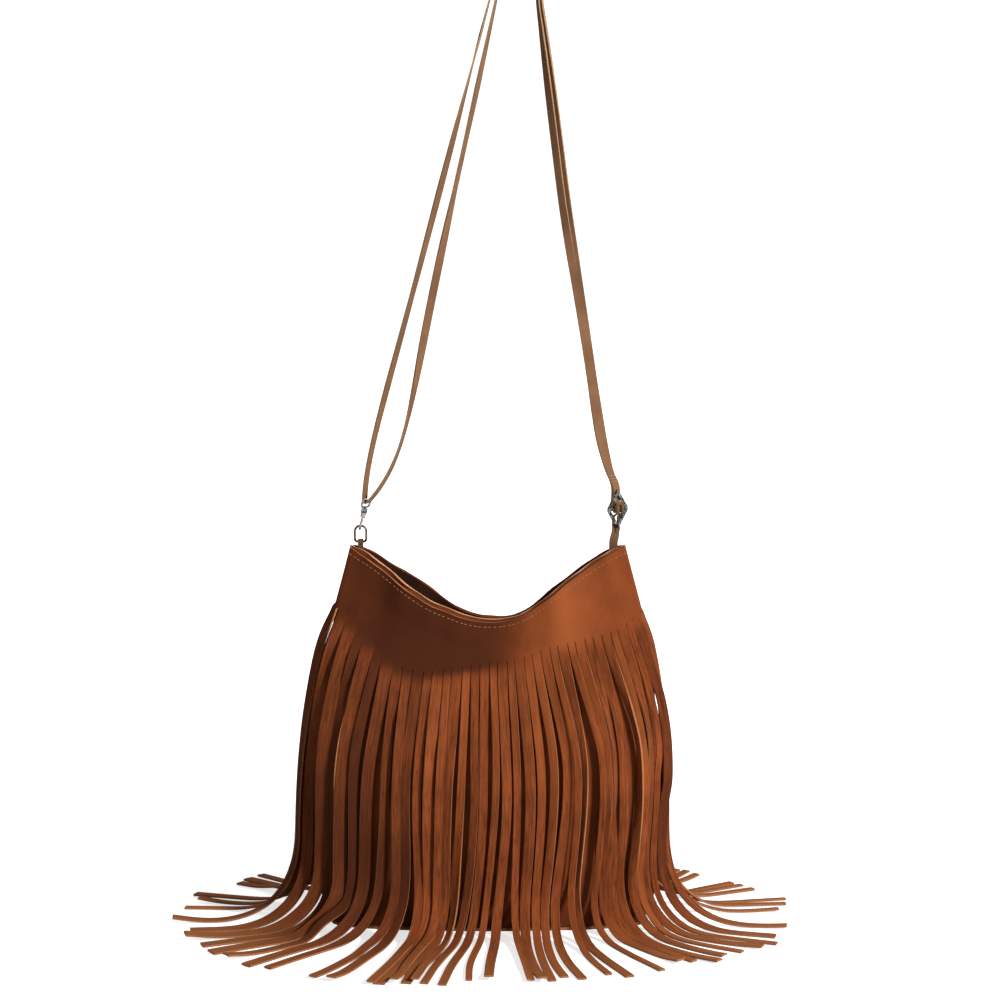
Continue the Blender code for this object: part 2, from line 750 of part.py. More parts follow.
def buckle(looks, home, tools):
    """The pointed frame with its bar across the middle, cast as one."""
    steel = looks["antique"]
    slope = math.hypot(BUCKLE_HALF_WIDTH, BUCKLE_HALF_HEIGHT)
    band_x = BUCKLE_BAND * slope / BUCKLE_HALF_HEIGHT
    band_z = BUCKLE_BAND * slope / BUCKLE_HALF_WIDTH
    outer = diamond(BUCKLE_HALF_WIDTH, BUCKLE_HALF_HEIGHT, 0.0009)
    inner = diamond(BUCKLE_HALF_WIDTH - band_x, BUCKLE_HALF_HEIGHT - band_z, 0.0005)
    plate = outline_plate("plate", [outer, inner[::-1]], BUCKLE_THICKNESS, steel, tools)
    plate = as_mesh(plate, home)
    plate.name = "buckle_frame"
    plate.data.transform(Matrix.Rotation(math.pi / 2, 4, "X"))
    reach = BUCKLE_HALF_WIDTH - band_x / 2
    bar = cylinder("buckle_bar", BAR_RADIUS, -reach, reach, steel, tools, 16)
    bar.data.transform(Matrix.Rotation(math.pi / 2, 4, "Y"))
    boolean(plate, bar, "UNION")
    plate.data.materials.clear()
    plate.data.materials.append(steel)
    for obj in (plate, bar):
        obj.matrix_world = buckle_frame_matrix()
    return BUCKLE_HALF_HEIGHT - band_z


def prong(looks, home, tools):
    """The prong, hinged on the bar and resting on the frame's lower point."""
    silver = looks["silver"]
    inner = BAR_RADIUS + PRONG_GAP
    outer = inner + PRONG_WALL
    turn = Matrix.Rotation(math.pi / 2, 4, "Y")
    eye = cylinder("buckle_prong", outer, -PRONG_EYE_HALF_WIDTH, PRONG_EYE_HALF_WIDTH, silver, home, 20)
    hole = cylinder("prong_hole", inner, -4 * inner, 4 * inner, silver, tools, 20)
    rest = BUCKLE_THICKNESS / 2 + GAP + PRONG_RADIUS
    foot = -BUCKLE_HALF_HEIGHT - PRONG_RADIUS
    points = [(0, outer - PRONG_WALL * 0.7, -outer * 0.45), (0, rest + 0.0003, -2.2 * outer), (0, rest, foot)]
    shaft = as_mesh(tube("prong_shaft", points, PRONG_RADIUS, silver, tools), tools)
    for obj in (eye, hole):
        obj.data.transform(turn)
    boolean(eye, shaft, "UNION")
    boolean(eye, hole, "DIFFERENCE")
    for obj in (eye, hole, shaft):
        obj.matrix_world = buckle_frame_matrix()


def buckle_point(frame, out, up):
    return np.array(frame @ Vector((0, out, up)))


def tab_right(look, home, tools, inner_half_height):
    """From inside the corner, behind the buckle's lower point, out over its bar and its tip."""
    frame = buckle_frame_matrix()
    behind = -(BUCKLE_THICKNESS / 2 + GAP + TAB_RIGHT_THICKNESS / 2)
    over = BAR_RADIUS + GAP + STRAP_THICKNESS + GAP + TAB_RIGHT_THICKNESS / 2 + GAP
    lower = -BUCKLE_HALF_HEIGHT
    profile = [(over * 0.85, inner_half_height * 0.55)] + arc((0, 0), over, 30, -72, 8)
    profile += [(behind - GAP / 2, -over * 1.60), (behind - GAP, lower * 0.75), (behind - GAP, lower * 1.05)]
    points = [buckle_point(frame, out, up) for out, up in profile]
    along = np.array(frame.to_3x3() @ Vector((-1, 0, 0)))
    acrosses = [along] * len(points)
    x = CORNER_HALF_WIDTH - LAYERS - GAP - TAB_RIGHT_WIDTH / 2 - 0.0010
    corner = np.array((x, 0.0, CORNER_HEIGHT))
    last = points[-1]
    for share in (0.35, 0.7, 1.0):
        ease = share * share * (3 - 2 * share)
        target = corner + np.array((0, 0, 0.0015))
        points.append(last + (target - last) * np.array((ease, ease, share)))
        acrosses.append(along * (1 - ease) + np.array((1.0, 0, 0)) * ease)
    points.append(corner - np.array((0, 0, TAB_TAIL)))
    acrosses.append((1.0, 0, 0))
    tab = ribbon("tab_right", points, acrosses, TAB_RIGHT_WIDTH, TAB_RIGHT_THICKNESS, look, home)
    half = PRONG_RADIUS + GAP
    slot = block("prong_slot", (-half, -BUCKLE_THICKNESS, -inner_half_height * 0.86), (half, over * 2, 0.0020), look, tools)
    slot.matrix_world = frame
    boolean(tab, slot, "DIFFERENCE")


def catmull(points, step):
    """A smooth line through the points, with a spot about every step."""
    points = [np.array(p, float) for p in points]
    ends = [2 * points[0] - points[1]] + points + [2 * points[-1] - points[-2]]
    line = []
    for a, b, c, d in zip(ends, ends[1:], ends[2:], ends[3:]):
        count = max(1, int(round(np.linalg.norm(c - b) / step)))
        for k in range(count):
            t = k / count
            line.append(0.5 * (2 * b + (c - a) * t + (2 * a - 5 * b + 4 * c - d) * t**2
                               + (3 * b - a - 3 * c + d) * t**3))
    return line + [points[-1]]


def bowed(start, stop, bow, sway, shares):
    """Points between two ends, bowed sideways most near the start."""
    line = []
    for share in shares:
        point = start + (stop - start) * share
        lean = bow * (share / 0.12 * math.exp(1 - share / 0.12) * 0.7 + 0.3 * math.sin(math.pi * share))
        line.append(point + np.array((lean, sway * math.sin(math.pi * share), 0)))
    return line


def strap_turn(height):
    """The direction of the strap's width on the right leg: it twists as it rises."""
    low, high = CORNER_HEIGHT + BUCKLE_RISE + 0.03, STRAP_TOP_HEIGHT
    share = min(max((height - low) / (high - low), 0.0), 1.0)
    base = math.pi / 2 - BUCKLE_TURN
    turn = base + math.radians(20) * math.sin(math.pi * share) - base * share**2
    return np.array((math.sin(turn), math.cos(turn), 0))


def shoulder_strap(look, home, tools, hook, inner_half_height):
    """One closed band: buckle bar, right leg, top, left leg, eye and back beside itself."""
    frame = buckle_frame_matrix()
    ply = STRAP_THICKNESS
    turn = BAR_RADIUS + GAP + ply / 2
    behind = -(BUCKLE_THICKNESS / 2 + GAP + ply / 2)
    second = behind - ply - GAP
    along = np.array(frame.to_3x3() @ Vector((-1, 0, 0)))
    loop = [(turn * math.cos(a), turn * math.sin(a)) for a in np.radians(np.linspace(35, -180, 11))]
    front = [(behind, BUCKLE_HALF_HEIGHT * 1.1), (behind, inner_half_height * 0.62), (behind * 0.35, turn * 2.0)]
    rear = [(second * 0.85, turn * 1.3), (second, turn * 2.4), (second, BUCKLE_HALF_HEIGHT * 1.1)]
    bar = [buckle_point(frame, out, up) for out, up in front + loop + rear]
    top = np.array((STRAP_TOP_X, 0, STRAP_TOP_HEIGHT))
    inner_radius = STRAP_TOP_RADIUS
    outer_radius = inner_radius + ply + GAP
    eye_top = np.array(hook @ Vector((0, 0, eye_height() + EYE_HALF_HEIGHT)))
    hole = np.array((math.cos(EYE_TURN), -math.sin(EYE_TURN), 0))
    across = np.array((math.sin(EYE_TURN), math.cos(EYE_TURN), 0))
    hang = EYE_WIRE + 1.5 * GAP + ply / 2
    under = [eye_top + hole * hang * math.sin(a) - np.array((0, 0, hang * math.cos(a)))
             for a in np.radians(np.linspace(-75, 60, 8))]
    shares = (0.05, 0.12, 0.22, 0.35, 0.5, 0.65, 0.8, 0.92)
    arc_shares = np.radians(np.linspace(-8, 195, 12))

    def over(radius):
        return [top + radius * np.array((math.cos(a), 0, math.sin(a))) for a in arc_shares]

    inner_arc, outer_arc = over(inner_radius), over(outer_radius)
    beside = 0.5 * (ply + 2 * GAP)
    first = bowed(bar[0], inner_arc[0], -RIGHT_BOW, -beside, shares)
    back = bowed(bar[-1], outer_arc[0], -RIGHT_BOW, beside, shares)
    left_in = bowed(under[-1], inner_arc[-1], LEFT_BOW_INNER, 0.0, shares)
    left_out = bowed(under[0], outer_arc[-1], -LEFT_BOW_OUTER, 0.0, shares)
    rising = catmull(bar[-1:] + back + outer_arc[:1], 0.024)[1:-1]
    falling = catmull(outer_arc[-1:] + left_out[::-1] + under[:1], 0.024)[1:-1]
    climbing = catmull(under[-1:] + left_in + inner_arc[-1:], 0.024)[1:-1]
    coming = catmull(inner_arc[:1] + first[::-1] + bar[:1], 0.024)[1:-1]
    points = bar + rising + outer_arc + falling + under + climbing + inner_arc[::-1] + coming
    acrosses = [along] * len(bar) + [strap_turn(p[2]) for p in rising]
    acrosses += [np.array((0.0, 1.0, 0))] * len(outer_arc)
    acrosses += [blend_across(across, p[2], eye_top[2]) for p in falling] + [across] * len(under)
    acrosses += [blend_across(across, p[2], eye_top[2]) for p in climbing]
    acrosses += [np.array((0.0, 1.0, 0))] * len(inner_arc)
    acrosses += [strap_turn(p[2]) for p in coming]
    strap = ribbon("shoulder_strap", points, acrosses, STRAP_WIDTH, ply, look, home, closed=True)
    half = PRONG_EYE_HALF_WIDTH + GAP
    reach = BAR_RADIUS + PRONG_GAP + PRONG_WALL + 2 * GAP
    slot = block("strap_slot", (-half, -reach - ply, -reach - ply), (half, reach + ply, reach), look, tools)
    slot.matrix_world = frame
    boolean(strap, slot, "DIFFERENCE")


def blend_across(across, height, low):
    """The left leg's width turns evenly from the eye's to straight across at the top."""
    share = min(max((height - low) / (STRAP_TOP_HEIGHT - low), 0.0), 1.0)
    return across * (1 - share) + np.array((0.0, 1.0, 0)) * share


def main():
    clear_scene()
    home = collection_named("fringed_suede_bag")
    tools = collection_named("cutters")
    looks = {
        "suede": material_of("suede", SUEDE_COLOUR, 0.95),
        "lining": material_of("lining_cloth", (0.05, 0.03, 0.02), 0.9),
        "silver": material_of("silver_metal", (0.6, 0.58, 0.55), 0.3, 1.0),
        "antique": material_of("antique_metal", (0.25, 0.23, 0.21), 0.4, 1.0),
        "brass": material_of("dark_brass", (0.12, 0.10, 0.07), 0.4, 1.0),
        "strap": material_of("strap_suede", (0.20, 0.11, 0.07), 0.9),
    }
    base_panel(looks["suede"], home)
    wall(-1, "body_front", looks["suede"], home)
    wall(1, "body_back", looks["suede"], home)
    lining(looks["lining"], home)
    fringe(-1, "fringe_front", looks["suede"], home)
    fringe(1, "fringe_back", looks["suede"], home)
    snap(looks, home, tools)
    tab_left(looks["strap"], home)
    ring_left(looks["brass"], home)
    pivot = bpy.data.objects.new("hook_axis", None)
    home.objects.link(pivot)
    hook = hook_frame()
    pivot.matrix_world = hook
    ear_out = hook_body(looks, home, tools, pivot)
    hook_gate(looks, home, tools, pivot, ear_out)
    swivel_eye(looks, home, tools, pivot)
    inner_half_height = buckle(looks, home, tools)
    prong(looks, home, tools)
    tab_right(looks["strap"], home, tools, inner_half_height)
    shoulder_strap(looks["strap"], home, tools, hook, inner_half_height)


main()
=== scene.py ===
"""Looks for a fringed suede shoulder bag.

The pouch, its base and lining, the yokes with their cut strips, the strap and the corner tabs are
made here as smooth soft pieces in the places of their solids. The metal fittings keep their solids
and get their finish. The pouch and the strap follow the sizes of the source, in metres.
"""

import math

import bmesh
import bpy
import numpy as np
from mathutils import Matrix, Vector


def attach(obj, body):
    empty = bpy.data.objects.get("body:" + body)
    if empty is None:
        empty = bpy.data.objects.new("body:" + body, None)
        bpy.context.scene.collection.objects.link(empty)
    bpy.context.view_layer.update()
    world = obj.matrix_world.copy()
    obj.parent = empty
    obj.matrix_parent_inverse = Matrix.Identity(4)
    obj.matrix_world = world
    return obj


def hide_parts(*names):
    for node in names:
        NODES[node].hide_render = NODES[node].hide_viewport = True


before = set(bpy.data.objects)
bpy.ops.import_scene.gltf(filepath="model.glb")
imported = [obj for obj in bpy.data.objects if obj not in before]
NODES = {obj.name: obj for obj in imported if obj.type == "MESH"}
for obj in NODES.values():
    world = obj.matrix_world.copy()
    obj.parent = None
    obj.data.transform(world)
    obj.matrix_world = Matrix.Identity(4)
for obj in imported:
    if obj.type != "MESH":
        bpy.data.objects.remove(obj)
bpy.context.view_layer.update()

# Pouch
BASE_THICKNESS = 0.0025
FOOT_HALF_WIDTH = 0.128
BELLY_HALF_WIDTH = 0.139
SHOULDER_HALF_WIDTH = 0.130
CORNER_HALF_WIDTH = 0.109
FOOT_HALF_DEPTH = 0.039
FOOT_SQUARENESS = 0.6
BELLY_HALF_DEPTH = 0.046
SHOULDER_HALF_DEPTH = 0.030
CORNER_HEIGHT = 0.311
RIM_MID_HEIGHT = 0.255
MOUTH_LEFT = 0.012
MOUTH_RIGHT = 0.006
SUEDE = 0.0016
LINING = 0.0008
GAP = 0.0003
YOKE_GAP = 0.0005
LINING_GAP = 0.0005
LINING_DROP = 0.0015
SEAM_POCKET = 0.0030
SNAP_HALF_THICKNESS = 0.0032
LAYERS = SUEDE + LINING_GAP + LINING
SEAM_HALF = LAYERS + SEAM_POCKET / 2
WALL_FOOT = BASE_THICKNESS + GAP
NECK_HALF_DEPTH = LAYERS + GAP + SNAP_HALF_THICKNESS

# Fringe
STRIPS = 36
CUT_SKEW = 0.13
SLIT = 0.0006
SLIT_LEVEL = 0.845
STRIP_LENGTH = 0.345
HUG_LEVEL = 0.26
HANG_SPREAD = 0.0035
HANG_SPREAD_LEFT = 0.0130
HANG_SPREAD_RIGHT = 0.0035
LEAVE_HEIGHT = (0.046, 0.080)
FAN_HALF_WIDTH = 0.262
FAN_HALF_DEPTH = 0.192
FAN_CROWDING = 0.28
COURSE_ROWS = 104
COURSE_SPOTS = 121
STRIP_COLUMNS = 5
LOUVRE = 0.5
HANG_HALF_WIDTH = 0.1425
YOKE_ROWS = 20
YOKE_DROP = (0.0030, 0.0012)
RIM_ROLL = 0.0028
SLOW_WAVE = 6.0
QUICK_WAVE = 13.0

# How far the rim sags, how high the slits end and the light and shade painted on the yoke, from left to right
RIM_PLACES = (-1.0, -0.9, -0.73, -0.47, -0.28, 0.0, 0.28, 0.46, 0.57, 0.76, 0.9, 1.0)
FRONT_SAG = (0, 0.0020, 0.0050, 0.0033, 0, 0.0029, 0.0032, 0.0015, 0.0013, 0.0030, 0.0015, 0)
BACK_SAG = (0, 0.0015, 0.0040, -0.0016, 0, 0.0026, 0.0055, 0.0030, 0.0032, 0.0040, 0.0020, 0)
SLIT_PLACES = (-1.0, -0.94, -0.86, -0.76, -0.55, -0.16, 0.0, 0.21, 0.38, 0.63, 0.85, 1.0)
SLIT_HEIGHTS = (0.2640, 0.2575, 0.2490, 0.2375, 0.2165, 0.2145,
                0.2170, 0.2210, 0.2290, 0.2370, 0.2460, 0.2600)
# Painted light and shade of the yoke: dark on the left of its middle, light on its right
PAINTED_YOKE_SHADING_PLACES = (-1.0, -0.6, -0.2, 0.0, 0.15, 0.3, 0.5, 0.75, 1.0)
PAINTED_YOKE_SHADING = (0.20, 0.05, 0.04, 0.15, 0.33, 0.62, 0.90, 0.66, 0.60)

# Corner tabs, ring and hook
TAB_PLY = 0.0010
TAB_TAIL = 0.016
TAB_LEFT_WIDTH = 0.0044
TAB_INSET = 0.0010
RING_WIRE = 0.0010
RING_HEIGHT = 0.0130
RING_LIFT = 0.0012
HOOK_TILT = math.radians(14)
EYE_TOP = 0.0218
EYE_WIRE = 0.0010
EYE_TURN = math.radians(30)

# Buckle and tab on the right
BUCKLE_X = 0.1045
BUCKLE_RISE = 0.030
BUCKLE_TURN = math.radians(35)
BUCKLE_HALF_HEIGHT = 0.0165
BUCKLE_HALF_WIDTH = 0.0105
BUCKLE_BAND = 0.0024
BUCKLE_THICKNESS = 0.0022
BAR_RADIUS = 0.0011
PRONG_SLEEVE = 0.0011
PRONG_EYE_HALF_WIDTH = 0.0012
TAB_RIGHT_WIDTH = 0.0070
TAB_RIGHT_THICKNESS = 0.0012
TAB_SLOT_TOP = 0.0044

# Strap
STRAP_WIDTH = 0.0064
STRAP_THICKNESS = 0.0016
STRAP_TOP_HEIGHT = 0.812
STRAP_TOP_X = 0.029
STRAP_TOP_RADIUS = 0.0100
LEFT_BOW_OUTER = 0.006
LEFT_BOW_INNER = 0.018
RIGHT_BOW = 0.008
RIGHT_SHIFT = 0.0062
PAIR_SPREAD = 0.0031
STRAP_STEP = 0.0025

# Light, background and camera
CAMERA_PLACE = (0.00984, -3.38063, 0.96895)
CAMERA_TILT = math.radians(79.6)
CAMERA_LENS = 153.66
FLOOR_LIFT_NEAR = 0.70
FLOOR_LIFT_FAR = 1.05


def eased(value):
    share = np.clip(value, 0.0, 1.0)
    return share * share * (3 - 2 * share)


def smooth_through(places, values, at):
    """A smooth curve through the points (places, values)."""
    places, values = np.array(places), np.array(values)
    slopes = np.gradient(values, places)
    k = np.clip(np.searchsorted(places, at) - 1, 0, len(places) - 2)
    span = places[k + 1] - places[k]
    u = (at - places[k]) / span
    return (
        (2 * u**3 - 3 * u**2 + 1) * values[k]
        + (u**3 - 2 * u**2 + u) * span * slopes[k]
        + (3 * u**2 - 2 * u**3) * values[k + 1]
        + (u**3 - u**2) * span * slopes[k + 1]
    )


def half_width(level):
    places = (0.0, 0.07, 0.20, 0.48, 0.72, 1.0)
    near_foot = 0.75 * BELLY_HALF_WIDTH + 0.25 * FOOT_HALF_WIDTH
    widths = (FOOT_HALF_WIDTH, near_foot, BELLY_HALF_WIDTH, BELLY_HALF_WIDTH)
    widths += (SHOULDER_HALF_WIDTH, CORNER_HALF_WIDTH)
    return smooth_through(places, widths, level)


def half_depth(level):
    places = (0.0, 0.10, 0.30, 0.55, 0.72, 0.86, 0.90, 1.0)
    above_belly = 0.5 * (BELLY_HALF_DEPTH + SHOULDER_HALF_DEPTH)
    depths = (FOOT_HALF_DEPTH, BELLY_HALF_DEPTH, BELLY_HALF_DEPTH, above_belly)
    depths += (0.82 * SHOULDER_HALF_DEPTH, NECK_HALF_DEPTH + 0.0022, NECK_HALF_DEPTH, NECK_HALF_DEPTH)
    return np.maximum(smooth_through(places, depths, level), NECK_HALF_DEPTH)


def squareness(level):
    share = np.clip((level - 0.25) / 0.5, 0.0, 1.0)
    return FOOT_SQUARENESS + (1.0 - FOOT_SQUARENESS) * share


def rim_height(across):
    share = 0.5 - 0.5 * np.cos(math.pi * np.abs(across) ** 1.15)
    return RIM_MID_HEIGHT + (CORNER_HEIGHT - RIM_MID_HEIGHT) * share


def mouth(side, across, level):
    """How far the rim bows out on each side of the snap."""
    reach = np.where(across < 0, MOUTH_LEFT, MOUTH_RIGHT)
    fade = np.clip((level - 0.72) / 0.28, 0.0, 1.0)
    even = 1.0 if side < 0 else 0.8
    bow = np.maximum(np.sin(math.pi * np.abs(across)), 0.0) ** 1.5
    return reach * even * bow * fade**2 * (3 - 2 * fade)


def ripple(side, across, level):
    """Soft waves of the slack rim and of the walls under it."""
    ends = eased((1.0 - np.abs(across)) / 0.25) * eased((np.abs(across) - 0.08) / 0.25)
    high = eased((level - 0.70) / 0.3)
    wave = np.sin(17.0 * across + 1.3 * side) + 0.6 * np.sin(29.0 * across + 0.7)
    return 0.0009 * wave * ends * high


def sag(side, across, level):
    """How far the slack rim hangs under its even line, more in some places than in others."""
    drop = smooth_through(RIM_PLACES, FRONT_SAG if side < 0 else BACK_SAG, across)
    return drop * eased((level - 0.80) / 0.2)


def pouch_at(side, angle, level, out, pocket=1.0):
    """Points of the pouch: side -1 front or 1 back, angle across it, level from foot to rim."""
    angle, level, pocket = np.broadcast_arrays(angle, level, pocket)
    across = np.sin(angle)
    wide = half_width(level) + out
    end = SEAM_HALF + out
    fullness = np.maximum(np.cos(angle), 0.0) ** squareness(level)
    y = end + (half_depth(level) + out - end) * fullness
    y = y + mouth(side, across, level) + ripple(side, across, level)
    y = GAP + (y - GAP) * pocket
    z = WALL_FOOT + level * (rim_height(across) - WALL_FOOT) - sag(side, across, level)
    return np.stack([wide * across, side * y, z], axis=-1)


def plan_table():
    """(share, angle, pocket) round the pouch at the slits: share runs -1 to 1 from seam to seam."""
    fine = np.linspace(-math.pi / 2, math.pi / 2, 361)
    angles = np.concatenate([fine[:1], fine, fine[-1:]])
    pockets = np.concatenate([[0.0], np.ones(len(fine)), [0.0]])
    points = pouch_at(1, angles, SLIT_LEVEL, 0.0, pockets)[:, :2]
    along = np.concatenate([[0], np.cumsum(np.linalg.norm(np.diff(points, axis=0), axis=1))])
    return 2 * along / along[-1] - 1, angles, pockets, float(along[-1])


PLAN_SHARES, PLAN_ANGLES, PLAN_POCKETS, PLAN_LENGTH = plan_table()


def spot_of(share):
    return np.interp(share, PLAN_SHARES, PLAN_ANGLES), np.interp(share, PLAN_SHARES, PLAN_POCKETS)


def pouch(side, share, level, out):
    angle, pocket = spot_of(share)
    return pouch_at(side, angle, level, out, pocket)


def rim_span(share):
    """The pouch's height at this share, which turns a drop in metres into levels."""
    return rim_height(np.sin(spot_of(share)[0])) - WALL_FOOT


def slit_level(share):
    across = np.sin(spot_of(share)[0])
    return (smooth_through(SLIT_PLACES, SLIT_HEIGHTS, across) - WALL_FOOT) / rim_span(share)


def fan_arc():
    turns = np.linspace(0.0, math.pi / 2, 91)
    x, y = FAN_HALF_WIDTH * np.sin(turns), FAN_HALF_DEPTH * np.cos(turns)
    return turns, np.concatenate([[0], np.cumsum(np.hypot(np.diff(x), np.diff(y)))])


def fan_tip(side, share):
    """Where a strip points on the floor: a spot on an oval."""
    turns, along = fan_arc()
    spread = abs(share) * (1 - FAN_CROWDING + FAN_CROWDING * share * share)
    turn = float(np.interp(spread * along[-1], along, turns))
    x = math.copysign(FAN_HALF_WIDTH * math.sin(turn), share)
    return np.array((x, side * FAN_HALF_DEPTH * math.cos(turn), 0.0))


def share_of_turn(degrees):
    """The share whose strip points at this turn of the oval."""
    turns, along = fan_arc()
    shares = np.linspace(0, 1, 201)
    spread = shares * (1 - FAN_CROWDING + FAN_CROWDING * shares**2) * along[-1]
    found = np.interp(np.interp(np.radians(np.abs(degrees)), turns, along), spread, shares)
    return np.sign(degrees) * found


def strip_course(side, share):
    """The line that a strip at this share takes: down the wall, off it and along the floor."""
    angle, pocket = spot_of(share)
    edge = abs(math.sin(angle))
    widest = HANG_SPREAD_LEFT if share < 0 else HANG_SPREAD_RIGHT
    spread = HANG_SPREAD + (widest - HANG_SPREAD) * edge**4
    leave = LEAVE_HEIGHT[0] + (LEAVE_HEIGHT[1] - LEAVE_HEIGHT[0]) * edge**2
    leave += 0.007 * math.sin(9.0 * share + side) + 0.005 * math.sin(23.0 * share + 2 * side)
    out = YOKE_GAP + SUEDE / 2
    top = pouch_at(side, angle, slit_level(share), out, pocket)
    foot = pouch_at(side, angle, HUG_LEVEL, out, pocket)
    way = (fan_tip(side, share) - foot) * (1, 1, 0)
    outward = way / np.linalg.norm(way)
    z = np.linspace(top[2], leave, 46)
    down = (top[2] - z) / (top[2] - leave)
    level = np.maximum((z - WALL_FOOT) / rim_span(share), HUG_LEVEL)
    hang = pouch_at(side, angle, level, out, pocket)
    hang[:, 2] = z
    hang += outward * (spread * (0.20 * eased(down * 4) + 0.80 * down))[:, None]
    turns = eased(np.linspace(0.0, 1.0, 40))[:-1] * math.pi / 2
    scale = (leave - SUEDE / 2 - GAP) / np.cos(turns).sum()
    steps = scale * (outward * np.sin(turns)[:, None] - np.array((0, 0, 1)) * np.cos(turns)[:, None])
    bend = hang[-1] + np.cumsum(steps, axis=0)
    return np.vstack([hang, bend, bend[-1:] + outward * STRIP_LENGTH])


def even_steps(line, length, count):
    along = np.concatenate([[0], np.cumsum(np.linalg.norm(np.diff(line, axis=0), axis=1))])
    wanted = np.linspace(0, length, count)
    return np.stack([np.interp(wanted, along, line[:, k]) for k in range(3)], axis=1)


def soften(values, passes, axis=0):
    """Averages neighbours along one axis, ends kept."""
    values = np.array(values, float)
    middle = np.moveaxis(values, axis, 0)
    for _ in range(passes):
        middle[1:-1] = 0.25 * middle[:-2] + 0.5 * middle[1:-1] + 0.25 * middle[2:]
    return values


def unit(vectors):
    return vectors / np.maximum(np.linalg.norm(vectors, axis=-1, keepdims=True), 1e-12)


class Courses:
    """All the courses that strips of one side can take, read at any share and row."""

    def __init__(self, side):
        shares = np.linspace(-0.999, 0.999, COURSE_SPOTS)
        lines = [even_steps(strip_course(side, share), STRIP_LENGTH, COURSE_ROWS) for share in shares]
        self.points = soften(np.array(lines), 4, axis=1)
        steps = np.linalg.norm(np.diff(self.points, axis=0), axis=2)
        self.lateral = np.concatenate([np.zeros((1, COURSE_ROWS)), np.cumsum(steps, axis=0)])
        down = unit(np.gradient(self.points, axis=1))
        self.normals = unit(np.cross(np.gradient(self.points, axis=0), down) * side)

    def read(self, table, share):
        """table at each row, for a share that may change from row to row."""
        place = (share + 0.999) / 1.998 * (COURSE_SPOTS - 1)
        low = np.clip(place.astype(int), 0, COURSE_SPOTS - 2)
        part = (place - low).reshape(-1, *[1] * (table.ndim - 2))
        rows = np.arange(COURSE_ROWS)
        return table[low, rows] * (1 - part) + table[low + 1, rows] * part


def stacked(lateral, half_wide, half_deep, order):
    """How far each strip is lifted off the ones under it, so that none runs through another."""
    lift = np.zeros_like(lateral)
    placed = []
    for k in order:
        need = np.zeros(lateral.shape[1])
        for m in placed:
            touching = np.abs(lateral[k] - lateral[m]) < half_wide[k] + half_wide[m] + 0.0001
            height = lift[m] + half_deep[m] + half_deep[k] + 0.0002
            need = np.where(touching, np.maximum(need, height), need)
        wide = need.copy()
        for shift in range(1, 5):
            wide[shift:] = np.maximum(wide[shift:], need[:-shift])
            wide[:-shift] = np.maximum(wide[:-shift], need[shift:])
        lift[k] = np.maximum(soften(wide, 10), 0)
        placed.append(k)
    return lift


def grid_normals(rows, side):
    """Outward normals of a grid of points whose columns run from left to right."""
    return unit(np.cross(np.gradient(rows, axis=1), np.gradient(rows, axis=0)) * side)


def side_faces(index, mask, wrap):
    """The cut sides of a masked grid, as pairs of outline points in order."""
    rows = len(index)
    upper, lower = index[: len(mask)], index[(np.arange(len(mask)) + 1) % rows]
    blank = np.zeros((len(mask), 1), bool)
    left, right = np.hstack([blank, mask]), np.hstack([mask, blank])
    pairs = [np.stack([lower, upper], -1)[right & ~left], np.stack([upper, lower], -1)[left & ~right]]
    if wrap:
        above, below = np.roll(mask, 1, axis=0), mask
    else:
        blank = np.zeros((1, mask.shape[1]), bool)
        above, below = np.vstack([blank, mask]), np.vstack([mask, blank])
    first, second = index[:, :-1], index[:, 1:]
    pairs.append(np.stack([first, second], -1)[below & ~above])
    pairs.append(np.stack([second, first], -1)[above & ~below])
    return np.concatenate(pairs)


def closed_sheet(name, looks, middles, normals, thickness, mask=None, wrap=False, marks=None):
    """Leather or cloth with its cut sides: a grid of points thickened along its normals.

    mask says which cells there are, wrap joins the last row to the first, and marks are values
    kept at the points for the materials. The second look is for the cut sides.
    """
    rows, columns = middles.shape[:2]
    if mask is None:
        mask = np.ones((rows if wrap else rows - 1, columns - 1), bool)
    count = rows * columns
    index = np.arange(count).reshape(rows, columns)
    upper, lower = index[: len(mask)], index[(np.arange(len(mask)) + 1) % rows]
    skin = np.stack([upper[:, :-1], lower[:, :-1], lower[:, 1:], upper[:, 1:]], -1)[mask]
    cut = side_faces(index, mask, wrap)
    faces = np.concatenate([skin, skin[:, ::-1] + count, np.hstack([cut, cut[:, ::-1] + count])])
    points = np.concatenate([middles + normals * thickness / 2, middles - normals * thickness / 2])
    points = points.reshape(-1, 3)
    a, b, d = points[skin[:, 0]], points[skin[:, 1]], points[skin[:, 3]]
    outer = np.cross(b - a, d - a) * normals.reshape(-1, 3)[skin[:, 0]]
    if outer.sum() < 0:
        faces = faces[:, ::-1]
    used, places = np.unique(faces, return_inverse=True)
    data = bpy.data.meshes.new(name)
    data.from_pydata(points[used].tolist(), [], places.reshape(faces.shape).tolist())
    for look in looks:
        data.materials.append(look)
    slots = np.repeat([0, 1], [2 * len(skin), len(cut)])
    data.polygons.foreach_set("material_index", slots)
    for label, values in (marks or {}).items():
        flat = np.concatenate([values.reshape(count, -1)] * 2)[used]
        kind, field = ("FLOAT", "value") if flat.shape[1] == 1 else ("FLOAT_VECTOR", "vector")
        data.attributes.new(label, kind, "POINT").data.foreach_set(field, flat.ravel())
    data.shade_smooth()
    data.set_sharp_from_angle(angle=math.radians(50))
    return place_object(name, data)


def place_object(name, data):
    obj = bpy.data.objects.new(name, data)
    bpy.context.scene.collection.objects.link(obj)
    return obj


